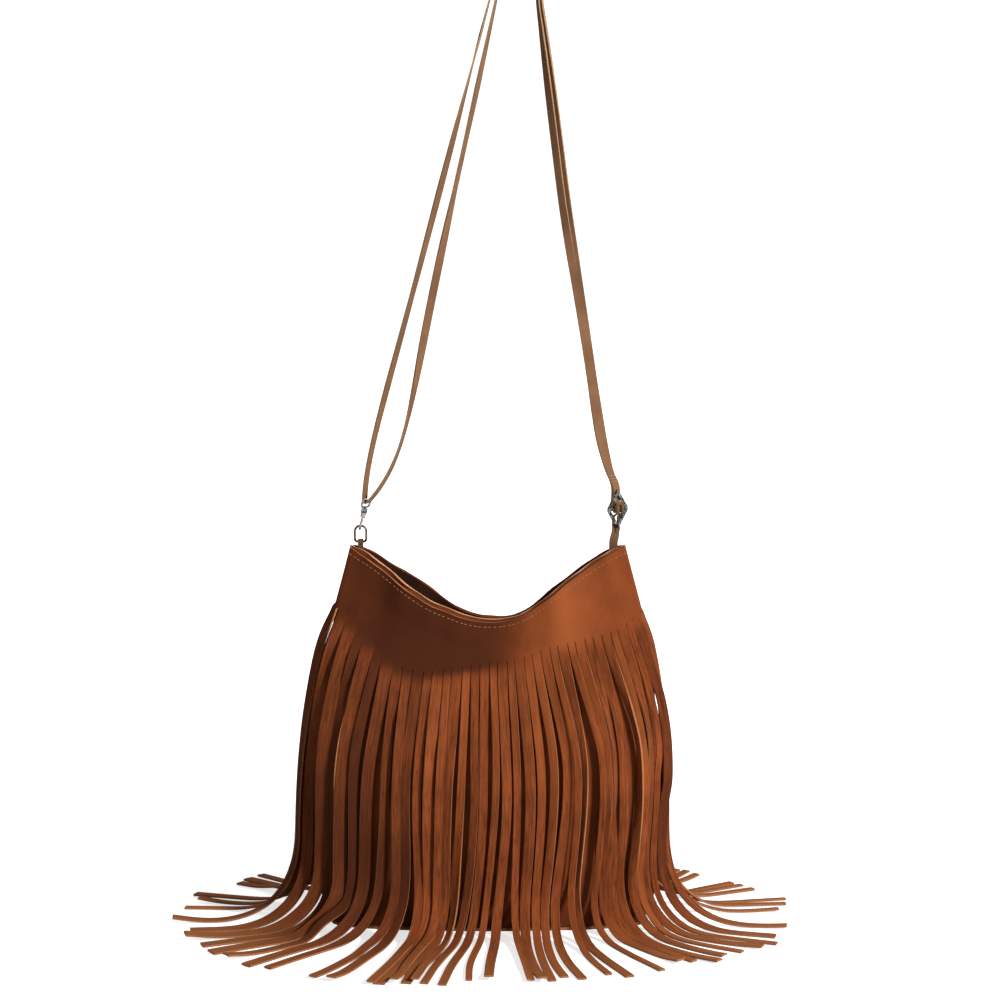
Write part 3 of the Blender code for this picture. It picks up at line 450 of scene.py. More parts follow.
def lie_marks(middles, tone_and_shading=0.5, tip=0.0):
    """The marks that the suede reads: where a point lies on the flat sheet, its tone with painted light and
    shade in it, and its tip.
    """
    across = np.linalg.norm(np.diff(middles, axis=1, prepend=middles[:, :1]), axis=2).cumsum(axis=1)
    down = np.linalg.norm(np.diff(middles, axis=0, prepend=middles[:1]), axis=2).cumsum(axis=0)
    shape = middles.shape[:2]
    return {
        "lie": np.stack([across, down, np.zeros(shape)], axis=-1),
        "tone_and_shading": np.array(np.broadcast_to(tone_and_shading, shape), float),
        "tip": np.array(np.broadcast_to(tip, shape), float),
    }


def cut_places():
    """The shares of the cuts by hand, seams included: the strips on the left are the wider ones."""
    even = np.arange(STRIPS + 1) / STRIPS
    shares = 2 * (even + CUT_SKEW * even * (1 - even)) - 1
    shares[1:-1] += 0.16 / STRIPS * np.sin(2.7 * np.arange(1, STRIPS) + 0.5)
    return shares


CUTS = cut_places()
HOMES = (CUTS[1:] + CUTS[:-1]) / 2


def column_shares():
    """The shares of the columns: five to a strip, with the slit between two strips."""
    cut = SLIT / PLAN_LENGTH
    shares = []
    for k in range(STRIPS):
        left = CUTS[k] + (cut if k else 0.0)
        right = CUTS[k + 1] - (cut if k < STRIPS - 1 else 0.0)
        shares.append(np.linspace(left, right, STRIP_COLUMNS))
    return np.concatenate(shares)


def yoke_top(share):
    """The level of the yoke's top edge, a little under the rim, more on the left."""
    left = eased((0.25 - share) / 0.5)
    drop = YOKE_DROP[1] + (YOKE_DROP[0] - YOKE_DROP[1]) * left
    drop = drop * eased((0.985 - np.abs(share)) / 0.12) + 0.0004
    return 1 - drop / rim_span(share)


def flare(share, level, top, amount):
    """The last millimetres of a cut rim roll a little outward, unevenly."""
    below = (top - level) * rim_span(share)
    wavy = 0.65 + 0.35 * np.sin(31.0 * share + 0.6)
    ends = eased((0.93 - np.abs(share)) / 0.12)
    return amount * wavy * ends * (1 - eased(below / RIM_ROLL)) ** 1.5


def painted_yoke_shading(side, shares, parts):
    """Light and shade painted on the yoke: lighter on its right, a painted shadow on the left of its middle
    that deepens toward the slits.
    """
    across = np.sin(spot_of(shares)[0]) * (1 if side < 0 else -1)
    low = 0.12 * np.exp(-(((across + 0.25) / 0.35) ** 2))
    tone_and_shading = smooth_through(PAINTED_YOKE_SHADING_PLACES, PAINTED_YOKE_SHADING, across) - low * eased(parts)[:, None]
    return np.clip(tone_and_shading, 0.0, 1.0)


def fringe_sheet(side, name, looks, plan):
    """The yoke and its strips, cut from one sheet of suede; plan says how its strips hang."""
    rng = np.random.default_rng(plan["seed"])
    courses = Courses(side)
    shares = column_shares()
    out = YOKE_GAP + SUEDE / 2
    parts = np.linspace(0, 1, YOKE_ROWS) ** 1.35
    top = yoke_top(shares)
    levels = top + (slit_level(shares) - top) * parts[:, None]
    yoke = pouch(side, shares, levels, out + flare(shares, levels, top, 0.0007))
    yoke_normals = grid_normals(yoke, side)

    down = np.linspace(0, 1, COURSE_ROWS)
    home, middle_share = HOMES, plan["middle"]
    ends = yoke[-1].reshape(STRIPS, STRIP_COLUMNS, 3)
    widths = np.linalg.norm(ends[:, -1] - ends[:, 0], axis=1) / 2
    drift = home[:, None] + (middle_share - home)[:, None] * eased(down / 0.30)
    drift += (plan["tips"] - middle_share)[:, None] * eased((down - 0.28) / 0.62)
    phases = rng.uniform(0, 6, (STRIPS, 3))
    wander = rng.uniform(-1, 1, (STRIPS, 2)) * plan["wander"]
    wave = (wander[:, :1] * np.sin(down * SLOW_WAVE + phases[:, :1])
            + wander[:, 1:] * np.sin(down * QUICK_WAVE + phases[:, 1:2]))
    drift += wave * eased(down / 0.35)
    margin = 0.95 / STRIPS
    drift = np.clip(drift, -1 + margin, 1 - margin)

    swing = plan["twist"][:, None] * np.exp(-(((down - plan["twist_at"][:, None]) / 0.22) ** 2))
    lazy = rng.uniform(-1, 1, (STRIPS, 1)) * 0.22 * np.sin(down * 5 + phases[:, 2:])
    twist = (swing + lazy) * eased(down / 0.22)
    twist += LOUVRE * home[:, None] * eased(down / 0.09)
    twist *= 1 - 0.85 * eased((down - 0.62) / 0.18)
    curl = rng.choice((0, 0, 0, 0.0025, 0.0055), STRIPS)

    lateral = np.array([courses.read(courses.lateral, drift[k]) for k in range(STRIPS)])
    wide = np.abs(np.cos(twist)) * widths[:, None] + np.abs(np.sin(twist)) * SUEDE / 2
    deep = np.abs(np.sin(twist)) * widths[:, None] + np.abs(np.cos(twist)) * SUEDE / 2
    lift = stacked(lateral, wide, deep, rng.permutation(STRIPS)) * eased(down / 0.12)
    lift = np.maximum(lift, np.abs(np.sin(twist)) * widths[:, None])

    grid = np.zeros((YOKE_ROWS + COURSE_ROWS - 1, STRIPS * STRIP_COLUMNS, 3))
    normals = np.zeros_like(grid)
    tone_and_shading = np.full(grid.shape[:2], 0.5)
    grid[:YOKE_ROWS], normals[:YOKE_ROWS] = yoke, yoke_normals
    # The yoke's painted light and shade go into its tone mark
    tone_and_shading[:YOKE_ROWS] = painted_yoke_shading(side, shares, parts)
    mask = np.ones((grid.shape[0] - 1, grid.shape[1] - 1), bool)
    mask[YOKE_ROWS - 1 :, STRIP_COLUMNS - 1 :: STRIP_COLUMNS] = False
    spread = np.linspace(-1, 1, STRIP_COLUMNS)
    steps = np.arange(COURSE_ROWS)
    for k in range(STRIPS):
        columns = slice(k * STRIP_COLUMNS, (k + 1) * STRIP_COLUMNS)
        normal = courses.read(courses.normals, drift[k])
        middle = courses.read(courses.points, drift[k]) + normal * lift[k][:, None]
        middle[:, 2] += curl[k] * eased((down - 0.84) / 0.2) ** 2
        middle = soften(middle, 3)
        middle[0] = ends[k].mean(axis=0)
        along = unit(np.gradient(middle, axis=0))
        across = unit(np.cross(along, normal) * side)
        face = np.cross(along, across) * -side
        lean, rise = np.sin(twist[k])[:, None], np.cos(twist[k])[:, None]
        turned = across * rise + face * lean
        facing = face * rise - across * lean
        width = widths[k] * (1 + 0.07 * math.sin(7.0 * k) * eased(steps / 12))
        cup = rng.uniform(-0.0004, 0.0004) * eased(steps / 14)
        block = middle[:, None] + turned[:, None] * (spread * width[:, None])[:, :, None]
        block += facing[:, None] * (cup[:, None] * (spread**2 - 0.4))[:, :, None]
        grid[YOKE_ROWS:, columns] = block[1:]
        normals[YOKE_ROWS:, columns] = facing[1:, None]
        # Painted shade: each strip is darker on the lower part of its hang, above its bend to the floor
        own = plan["tone_and_shading"][k] - 0.16 * np.exp(-(((down[1:] - 0.47) / 0.14) ** 2))
        start = tone_and_shading[YOKE_ROWS - 1, columns]
        tone_and_shading[YOKE_ROWS:, columns] = start + (own[:, None] - start) * eased(steps[1:] / 4)[:, None]
        last = COURSE_ROWS - 1 - int(plan["short"][k])
        mask[YOKE_ROWS - 1 + last :, k * STRIP_COLUMNS : (k + 1) * STRIP_COLUMNS - 1] = False
    tip = np.concatenate([np.zeros(YOKE_ROWS - 1), down])[:, None]
    marks = lie_marks(grid, tone_and_shading, tip)
    marks["lie"][YOKE_ROWS:, :, 0] = marks["lie"][YOKE_ROWS - 1, :, 0]
    return closed_sheet(name, looks, grid, normals, SUEDE, mask, marks=marks)


def bowed_out(left, right, nudges=()):
    """The share at which each strip hangs halfway down: drawn outward from its home."""
    middle = HOMES + np.where(HOMES < 0, left, right) * np.sin(math.pi * np.abs(HOMES)) * np.sign(HOMES)
    for k, nudge in nudges:
        middle[k] += nudge
    return middle


def share_across(metres):
    """The share at which a strip hangs this far from the middle."""
    reach = np.clip(np.array(metres) / HANG_HALF_WIDTH, -0.9999, 0.9999)
    return np.interp(np.arcsin(reach), PLAN_ANGLES, PLAN_SHARES)


def front_plan():
    """How the front hangs: in groups that end at these turns of the oval, with a few twists."""
    turns = [-88, -77, -70, -63, -57, -51, -46, -41, -30, -27, -19.5, -18, -16.2, -14.4, -12.6]
    turns += [-10.8, -7.5, -3.5, 0.5, 7.5, 9.5, 11.5, 14, 17, 22.5, 25.5, 33, 39, 42, 45, 50]
    turns += [55, 60, 65, 72, 80]
    nudges = [(3, -0.012), (4, -0.024), (5, -0.026), (6, -0.012), (7, 0.012), (8, 0.014)]
    nudges += [(13, -0.012), (15, 0.014)]
    middle = bowed_out(0.025, 0.085, nudges)
    right = (15, 24, 34, 44, 54, 64, 73, 77, 92, 96, 103, 109, 121, 126, 131, 136, 140, 142)
    middle[18:] = share_across(np.array(right) / 1000)
    rng = np.random.default_rng(5)
    twist = rng.uniform(-0.3, 0.3, STRIPS)
    for k, turn in ((3, 0.9), (14, 0.6), (18, -0.7), (25, 0.5), (28, -0.9), (30, 1.1), (32, -1.0), (34, 0.4)):
        twist[k] = turn
    short = rng.integers(0, 5, STRIPS)
    short[10:16] = 1
    tone_and_shading = rng.uniform(0.30, 0.80, STRIPS)
    # Painted shade: the seven strips on the far left of the front are much darker, the next four a little
    # darker
    tone_and_shading[:7] = rng.uniform(0.06, 0.30, 7)
    tone_and_shading[7:11] = rng.uniform(0.22, 0.48, 4)
    return {
        "seed": 11, "tips": share_of_turn(np.array(turns)), "middle": middle,
        "wander": (0.007, 0.004), "twist": twist, "twist_at": rng.uniform(0.25, 0.60, STRIPS),
        "short": short, "tone_and_shading": tone_and_shading,
    }


def back_plan():
    """The back hangs as the front does, in groups of its own."""
    rng = np.random.default_rng(9)
    tips = HOMES.copy()
    first = 0
    for size, squeeze in zip((3, 3, 2, 4, 3, 1, 4, 5, 2, 3, 3, 3), (3, 4, 2, 4, 2, 0, 4, 5, 2, 3, 4, 3)):
        group = slice(first, first + size)
        tips[group] = HOMES[group].mean() + (HOMES[group] - HOMES[group].mean()) * (1 - squeeze / 10)
        first += size
    middle = bowed_out(0.10, 0.10)
    return {
        "seed": 23, "tips": tips, "middle": middle, "wander": (0.006, 0.003),
        "twist": rng.uniform(-0.5, 0.5, STRIPS), "twist_at": rng.uniform(0.25, 0.60, STRIPS),
        "short": rng.integers(0, 6, STRIPS), "tone_and_shading": rng.uniform(0.2, 0.7, STRIPS),
    }


def wall_sheet(side, name, looks):
    """One wall of the pouch."""
    shares = np.linspace(-1, 1, 111)
    levels = np.concatenate([np.linspace(1.0, 0.985, 6), np.linspace(0.985, 0.72, 26)[1:],
                             np.linspace(0.72, 0.0, 40)[1:]])
    rows = pouch(side, shares, levels[:, None], -SUEDE / 2 + flare(shares, levels[:, None], 1.0, 0.0013))
    # Painted shade: the walls are darker toward their foot
    low = 0.25 * eased((0.12 - levels) / 0.12)[:, None]
    marks = lie_marks(rows, 0.45 - low)
    return closed_sheet(name, looks, rows, grid_normals(rows, side), SUEDE, marks=marks)


def plan_floor(name, looks, out, low, high):
    """A flat sheet inside the outline that the walls have at their foot."""
    angles = np.linspace(-math.pi / 2, math.pi / 2, 81)
    edge = pouch_at(1, angles, 0.0, out)
    shares = np.sin(np.linspace(-math.pi / 2, math.pi / 2, 15))
    rows = np.array([edge * (1, share, 0) + (0, 0, (low + high) / 2) for share in shares[::-1]])
    normals = np.broadcast_to((0.0, 0.0, 1.0), rows.shape)
    return closed_sheet(name, looks, rows, normals, high - low, marks=lie_marks(rows, 0.3))


def lining_bag(looks):
    """The lining: one loop of cloth from the floor up to just below the rim, and its floor."""
    out = -(SUEDE + LINING_GAP + LINING / 2)
    angles = np.linspace(-math.pi / 2, math.pi / 2, 81)
    foot = WALL_FOOT + LINING + GAP
    columns = []
    for side, turned in ((-1, angles), (1, angles[::-1])):
        for angle in turned:
            span = float(rim_height(np.sin(angle))) - WALL_FOOT
            top = 1 - LINING_DROP / span
            levels = np.concatenate([np.linspace(top, 0.72, 22),
                                     np.linspace(0.72, (foot - WALL_FOOT) / span, 34)[1:]])
            columns.append(pouch_at(side, angle, levels, out))
    loop = np.array(columns)
    along = np.roll(loop, -1, axis=0) - np.roll(loop, 1, axis=0)
    normals = unit(np.cross(along, np.gradient(loop, axis=1)))
    inside = np.array((0.0, 0.0, 0.15)) - loop
    if (normals * inside).sum() < 0:
        normals = -normals
    wall = closed_sheet("lining_bag", looks, loop, normals, LINING, wrap=True, marks=lie_marks(loop))
    floor = plan_floor("lining_floor", looks, out - LINING / 2 - 0.0002, WALL_FOOT, WALL_FOOT + LINING)
    return wall, floor


def ribbon(name, looks, points, acrosses, width, thickness, wrap=False, slot=None, cup=0.0):
    """A flat strap along its middle line; slot says which parts of its middle are cut away."""
    points, acrosses = np.array(points), unit(np.array(acrosses))
    if wrap:
        along = unit(np.roll(points, -1, axis=0) - np.roll(points, 1, axis=0))
    else:
        along = unit(np.gradient(points, axis=0))
    acrosses = unit(acrosses - along * (acrosses * along).sum(axis=1, keepdims=True))
    normals = np.cross(along, acrosses)
    eye = 2 * (PRONG_EYE_HALF_WIDTH + GAP) / width
    places = np.array((-1, -0.75, -eye, 0, eye, 0.75, 1))
    arch = cup * (places**2 - 0.3)
    rows = (points[:, None] + acrosses[:, None] * (places * width / 2)[:, None]
            + normals[:, None] * arch[:, None])
    mask = np.ones((len(points) if wrap else len(points) - 1, len(places) - 1), bool)
    if slot is not None:
        mask[slot[: len(mask)], 2:4] = False
    normals = np.repeat(normals[:, None], len(places), axis=1)
    return closed_sheet(name, looks, rows, normals, thickness, mask, wrap, lie_marks(rows))


def turn_points(radius, start, stop, count):
    """(across, up) points of an arc round zero, angles in degrees."""
    turns = np.radians(np.linspace(start, stop, count))
    return [(radius * math.cos(t), radius * math.sin(t)) for t in turns]


def catmull(points, step):
    """A smooth line through the points, with a spot about every step."""
    points = [np.array(p, float) for p in points]
    ends = [2 * points[0] - points[1]] + points + [2 * points[-1] - points[-2]]
    line = []
    for a, b, c, d in zip(ends, ends[1:], ends[2:], ends[3:]):
        count = max(1, int(round(np.linalg.norm(c - b) / step)))
        for k in range(count):
            t = k / count
            bend = (2 * a - 5 * b + 4 * c - d) * t**2 + (3 * b - a - 3 * c + d) * t**3
            line.append(0.5 * (2 * b + (c - a) * t + bend))
    return line + [points[-1]]


def ring_bar_height():
    return CORNER_HEIGHT + TAB_PLY + GAP + RING_WIRE + RING_LIFT


def tab_left(looks):
    """A short strip folded round the ring's lower bar, both ends sewn into the corner."""
    bar = ring_bar_height()
    apart = TAB_PLY / 2 + GAP / 4
    turn = RING_WIRE + GAP + TAB_PLY / 2
    low = CORNER_HEIGHT - TAB_TAIL
    leg = [(apart, low), (apart, low + TAB_TAIL / 2), (apart, bar - 1.9 * turn),
           (0.6 * turn, bar - 1.15 * turn)]
    loop = [(y, bar + z) for y, z in turn_points(turn, -35, 215, 11)]
    course = leg + loop + [(-y, z) for y, z in leg[::-1]]
    points = catmull([(TAB_LEFT_X, y, z) for y, z in course], 0.0005)
    acrosses = [(1, 0, 0)] * len(points)
    return ribbon("tab_left_fold", looks, points, acrosses, TAB_LEFT_WIDTH, TAB_PLY, cup=0.0001)


TAB_LEFT_X = -(CORNER_HALF_WIDTH - LAYERS - GAP - TAB_LEFT_WIDTH / 2 - TAB_INSET)
TAB_RIGHT_X = CORNER_HALF_WIDTH - LAYERS - GAP - TAB_RIGHT_WIDTH / 2 - TAB_INSET
HOOK = Matrix.Translation((TAB_LEFT_X, 0, ring_bar_height() + RING_HEIGHT))
HOOK = HOOK @ Matrix.Rotation(HOOK_TILT, 4, "Y")
BUCKLE = Matrix.Translation((BUCKLE_X, 0, CORNER_HEIGHT + BUCKLE_RISE))
BUCKLE = BUCKLE @ Matrix.Rotation(BUCKLE_TURN + math.pi, 4, "Z")
BUCKLE_ALONG = np.array(BUCKLE.to_3x3() @ Vector((-1, 0, 0)))
BUCKLE_SLOPE = math.hypot(BUCKLE_HALF_WIDTH, BUCKLE_HALF_HEIGHT)
BUCKLE_INNER = BUCKLE_HALF_HEIGHT - BUCKLE_BAND * BUCKLE_SLOPE / BUCKLE_HALF_WIDTH


def buckle_point(out, up):
    return np.array(BUCKLE @ Vector((0, out, up)))


def in_buckle(points):
    """Points in the buckle's own axes."""
    back = BUCKLE.inverted()
    return np.array([back @ Vector(point) for point in points])


def tab_right(looks):
    """From inside the corner, behind the buckle's lower point, out over its bar and its tip."""
    behind = -(BUCKLE_THICKNESS / 2 + GAP + TAB_RIGHT_THICKNESS / 2)
    over = BAR_RADIUS + GAP + STRAP_THICKNESS + GAP + TAB_RIGHT_THICKNESS / 2 + GAP
    lower = -BUCKLE_HALF_HEIGHT
    profile = [(over * 0.85, BUCKLE_INNER * 0.55)] + turn_points(over, 30, -72, 8)
    profile += [(behind - GAP / 2, -over * 1.60), (behind - GAP, lower * 0.75), (behind - GAP, lower * 1.05)]
    points = [buckle_point(out, up) for out, up in profile]
    acrosses = [BUCKLE_ALONG] * len(points)
    corner = np.array((TAB_RIGHT_X, 0.0, CORNER_HEIGHT))
    last = points[-1]
    for share in (0.35, 0.7, 1.0):
        ease = float(eased(share))
        points.append(last + (corner + (0, 0, 0.0015) - last) * (ease, ease, share))
        acrosses.append(BUCKLE_ALONG * (1 - ease) + np.array((1.0, 0, 0)) * ease)
    points.append(corner - (0, 0, TAB_TAIL))
    acrosses.append(np.array((1.0, 0, 0)))
    line, widths = catmull(points, 0.0007), catmull(acrosses, 0.0007)
    counts = [max(1, int(round(np.linalg.norm(b - a) / 0.0007))) for a, b in zip(points, points[1:])]
    knots = np.concatenate([[0], np.cumsum(counts)])
    widths = np.stack([np.interp(np.arange(len(line)), knots, np.array(acrosses)[:, k])
                       for k in range(3)], axis=1)
    local = in_buckle(line)
    slot = (local[:, 2] > -BUCKLE_INNER * 0.86) & (local[:, 2] < TAB_SLOT_TOP) & (local[:, 1] < over * 2)
    return ribbon("tab_right_fold", looks, line, widths, TAB_RIGHT_WIDTH, TAB_RIGHT_THICKNESS, slot=slot)


def bowed(start, stop, bow, sway, shares):
    """Points between two ends, bowed sideways most near the start."""
    line = []
    for share in shares:
        lean = bow * (share / 0.12 * math.exp(1 - share / 0.12) * 0.7 + 0.3 * math.sin(math.pi * share))
        line.append(start + (stop - start) * share + np.array((lean, sway * math.sin(math.pi * share), 0)))
    return line


def facing_turn(degrees):
    """The direction of a strap's width, and the way its face looks, at a turn about the vertical."""
    turn = math.radians(degrees)
    return np.array((math.sin(turn), math.cos(turn), 0)), np.array((math.cos(turn), -math.sin(turn), 0))


def right_pair(start, stop):
    """The two plies from buckle to top: they turn about each other, one a little aside."""
    first, back, widths = [], [], []
    for share in np.linspace(0.03, 0.97, 19):
        centre = bowed(start, stop, -RIGHT_BOW, 0.0, (share,))[0]
        centre[0] -= RIGHT_SHIFT * eased((share - 0.10) / 0.45) * (1 - eased((share - 0.86) / 0.14))
        low_turn = math.degrees(math.pi / 2 - BUCKLE_TURN)
        waver = 9 * math.sin(5 * math.pi * share) * math.sin(math.pi * share)
        width, face = facing_turn(low_turn + (180 - low_turn) * share**1.25 + waver)
        swell = math.exp(-(((share - 0.09) / 0.07) ** 2))
        aside = PAIR_SPREAD * (math.sin(math.pi * share) ** 0.6 + 0.8 * swell)
        apart = STRAP_THICKNESS + GAP + 0.0005 * math.sin(math.pi * share)
        between = width * aside - face * apart
        first.append(centre - between / 2)
        back.append(centre + between / 2)
        widths.append(width)
    return first, back, widths


def left_widths(line, low, swings):
    """The width's direction on a left leg: from the eye's to straight across, with its swings."""
    found = []
    for point in line:
        share = float(np.clip((point[2] - low) / (STRAP_TOP_HEIGHT - low), 0.0, 1.0))
        turn = math.degrees(EYE_TURN) * (1 - share)
        for amount, height, reach in swings:
            turn += amount * math.exp(-(((point[2] - height) / reach) ** 2))
        found.append(-facing_turn(turn)[0])
    return found


def strap(looks):
    """One closed band: buckle bar, right leg, top, left leg, eye and back beside itself."""
    ply = STRAP_THICKNESS
    turn = BAR_RADIUS + GAP + ply / 2
    behind = -(BUCKLE_THICKNESS / 2 + GAP + ply / 2)
    second = behind - ply - GAP
    front = [(behind, BUCKLE_HALF_HEIGHT * 1.1), (behind, BUCKLE_INNER * 0.62), (behind * 0.35, turn * 2.0)]
    rear = [(second * 0.85, turn * 1.3), (second, turn * 2.4), (second, BUCKLE_HALF_HEIGHT * 1.1)]
    bar = [buckle_point(out, up) for out, up in front + turn_points(turn, 35, -180, 11) + rear]
    top = np.array((STRAP_TOP_X, 0, STRAP_TOP_HEIGHT))
    eye_top = np.array(HOOK @ Vector((0, 0, EYE_TOP)))
    across, hole = facing_turn(math.degrees(EYE_TURN))
    hang = EYE_WIRE + 1.5 * GAP + ply / 2
    under = [eye_top + hole * hang * math.sin(a) - np.array((0, 0, hang * math.cos(a)))
             for a in np.radians(np.linspace(-75, 60, 8))]

    def over(radius):
        return [top + radius * np.array((math.cos(a), 0, math.sin(a)))
                for a in np.radians(np.linspace(-8, 195, 12))]

    inner_arc, outer_arc = over(STRAP_TOP_RADIUS), over(STRAP_TOP_RADIUS + ply + GAP)
    first, back, right = right_pair((bar[0] + bar[-1]) / 2, (inner_arc[0] + outer_arc[0]) / 2)
    shares = (0.02, 0.05, 0.09, 0.14, 0.20, 0.28, 0.36, 0.45, 0.54, 0.63, 0.72, 0.81, 0.89, 0.95)
    inner_leg = bowed(under[-1], inner_arc[-1], LEFT_BOW_INNER, 0.0, shares)
    outer_leg = bowed(under[0], outer_arc[-1], -LEFT_BOW_OUTER, 0.0, shares)
    outer_widths = left_widths(outer_leg, eye_top[2], ((28, 0.60, 0.07), (-18, 0.71, 0.03), (14, 0.45, 0.05)))
    inner_widths = left_widths(inner_leg, eye_top[2],
                               ((62, 0.515, 0.060), (-14, 0.40, 0.03), (22, 0.68, 0.05)))
    straight = np.array((0.0, -1.0, 0.0))
    knots = bar + back + outer_arc + outer_leg[::-1] + under + inner_leg + inner_arc[::-1] + first[::-1]
    widths = [BUCKLE_ALONG] * len(bar) + right + [straight] * len(outer_arc) + outer_widths[::-1]
    widths += [-across] * len(under) + inner_widths + [straight] * len(inner_arc) + right[::-1]
    points, turned = closed_line(knots, widths)
    local = in_buckle(points)
    reach = BAR_RADIUS + PRONG_SLEEVE + 2 * GAP
    slot = (np.abs(local[:, 1]) < reach + ply) & (local[:, 2] > -reach - ply) & (local[:, 2] < reach)
    slot &= np.abs(local[:, 0]) < STRAP_WIDTH
    return points, turned, ribbon("strap_band", looks, points, turned, STRAP_WIDTH, ply, wrap=True, slot=slot)


def closed_line(knots, widths):
    """A closed smooth line through the knots, with the direction of the width at each spot."""
    knots, widths = np.array(knots), unit(np.array(widths))
    count = len(knots)
    line, turned = [], []
    for k in range(count):
        a, b, c, d = (knots[(k + s) % count] for s in (-1, 0, 1, 2))
        near, far, wide = np.linalg.norm(b - a), np.linalg.norm(d - c), np.linalg.norm(c - b)
        start = (c - a) * wide / (near + wide)
        stop = (d - b) * wide / (far + wide)
        pieces = max(2, int(round(wide / STRAP_STEP)))
        for j in range(pieces):
            t = j / pieces
            spot = (2 * t**3 - 3 * t**2 + 1) * b + (t**3 - 2 * t**2 + t) * start
            line.append(spot + (3 * t**2 - 2 * t**3) * c + (t**3 - t**2) * stop)
            turned.append(widths[k] * (1 - t) + widths[(k + 1) % count] * t)
    return np.array(line), np.array(turned)


def thread_stitches(name, look, spans, radius):
    """Short arched stitches with rounded ends: each span is (start, stop, outward)."""
    rings, sides = 7, 6
    points, faces = [], []
    for start, stop, outward in spans:
        along = unit(stop - start)
        outward = unit(outward - along * (outward * along).sum())
        wide = np.cross(along, outward)
        first = len(points)
        for j in range(rings):
            t = j / (rings - 1)
            arch = math.sin(math.pi * t)
            centre = start + (stop - start) * t + outward * radius * (1.1 * arch - 0.5)
            size = radius * (0.45 + 0.55 * arch**0.5)
            for turn in np.arange(sides) * 2 * math.pi / sides:
                points.append(centre + size * (wide * math.cos(turn) + outward * math.sin(turn)))
        for j in range(rings - 1):
            for s in range(sides):
                low, n = first + j * sides, (s + 1) % sides
                faces.append((low + s, low + n, low + sides + n, low + sides + s))
        faces.append(tuple(range(first + sides - 1, first - 1, -1)))
        faces.append(tuple(range(first + (rings - 1) * sides, first + rings * sides)))
    data = bpy.data.meshes.new(name)
    data.from_pydata([tuple(p) for p in points], [], faces)
    data.materials.append(look)
    data.shade_smooth()
    return place_object(name, data)


def spans_along(line, outwards, length, pitch):
    """Even stitches along a line of points."""
    along = np.concatenate([[0], np.cumsum(np.linalg.norm(np.diff(line, axis=0), axis=1))])

    def read(table, at):
        return np.array([np.interp(at, along, table[:, k]) for k in range(3)])

    starts = np.arange(pitch / 2, along[-1] - length, pitch)
    starts = starts + pitch * 0.09 * np.sin(np.arange(len(starts)) * 2.4)
    return [(read(line, s), read(line, s + length), read(outwards, s + length / 2)) for s in starts]


def rim_stitches(side, name, look):
    """One row of stitches along the top of the yoke."""
    shares = np.linspace(-0.975, 0.975, 400)
    levels = yoke_top(shares) - 0.0042 / rim_span(shares)
    out = YOKE_GAP + SUEDE
    line = pouch(side, shares, levels, out)
    outwards = unit(pouch(side, shares, levels, out + 0.002) - line)
    return thread_stitches(name, look, spans_along(line, outwards, 0.0026, 0.0040), 0.00028)


def bar_tack(name, look, points, acrosses, place, rows):
    """A few stitches across a strap near one place of its line."""
    spot = int(np.argmin(np.linalg.norm(points - np.array(place), axis=1)))
    spans = []
    for row in range(rows):
        at = points[(spot + row) % len(points)]
        along = unit(points[(spot + row + 1) % len(points)] - at)
        wide = unit(acrosses[(spot + row) % len(points)])
        face = np.cross(along, wide)
        for flip in (-1, 1):
            lift = face * flip * STRAP_THICKNESS / 2
            reach = wide * STRAP_WIDTH * 0.36
            spans.append((at - reach + lift, at + reach + lift, face * flip))
    return thread_stitches(name, look, spans, 0.00032)


def node(tree, kind, **values):
    made = tree.nodes.new(kind)
    for key, value in values.items():
        if key in made.inputs:
            made.inputs[key].default_value = value
        else:
            setattr(made, key, value)
    return made


def blank_material(name):
    made = bpy.data.materials.new(name)
    made.use_nodes = True
    tree = made.node_tree
    return made, tree, tree.nodes["Principled BSDF"]


def noise(tree, scale, detail, stretch=(1, 1, 1), field=None):
    """Noise in the piece's own metres, or in the metres of its flat sheet; stretch lengthens it."""
    if field:
        coords = node(tree, "ShaderNodeAttribute", attribute_name=field).outputs["Vector"]
    else:
        coords = tree.nodes.new("ShaderNodeTexCoord").outputs["Object"]
    mapping = node(tree, "ShaderNodeMapping", Scale=[1 / s for s in stretch])
    made = node(tree, "ShaderNodeTexNoise", Scale=scale, Detail=detail, Roughness=0.55)
    tree.links.new(coords, mapping.inputs["Vector"])
    tree.links.new(mapping.outputs["Vector"], made.inputs["Vector"])
    return made.outputs["Fac"]


def blend_colour(tree, share, low, high):
    made = tree.nodes.new("ShaderNodeMix")
    made.data_type = "RGBA"
    for socket, value in ((made.inputs[0], share), (made.inputs[6], low), (made.inputs[7], high)):
        if isinstance(value, bpy.types.NodeSocket):
            tree.links.new(value, socket)
        elif isinstance(value, (int, float)):
            socket.default_value = value
        else:
            socket.default_value = (*value, 1.0)
    return made.outputs[2]


def ramped(tree, value, low, high, new_low=0.0, new_high=1.0):
    made = tree.nodes.new("ShaderNodeMapRange")
    made.interpolation_type = "SMOOTHSTEP"
    for socket, number in zip(made.inputs[1:5], (low, high, new_low, new_high)):
        socket.default_value = number
    tree.links.new(value, made.inputs[0])
    return made.outputs[0]


def product(tree, first, second):
    made = node(tree, "ShaderNodeMath", operation="MULTIPLY")
    tree.links.new(first, made.inputs[0])
    tree.links.new(second, made.inputs[1])
    return made.outputs[0]


def bumps(tree, shader, heights):
    """Chains bumps: each is (height output, strength, distance)."""
    before = None
    for height, strength, distance in heights:
        bump = node(tree, "ShaderNodeBump", Strength=strength, Distance=distance)
        tree.links.new(height, bump.inputs["Height"])
        if before is not None:
            tree.links.new(before.outputs["Normal"], bump.inputs["Normal"])
        before = bump
    tree.links.new(before.outputs["Normal"], shader.inputs["Normal"])


def mark(tree, name):
    return node(tree, "ShaderNodeAttribute", attribute_name=name).outputs["Fac"]


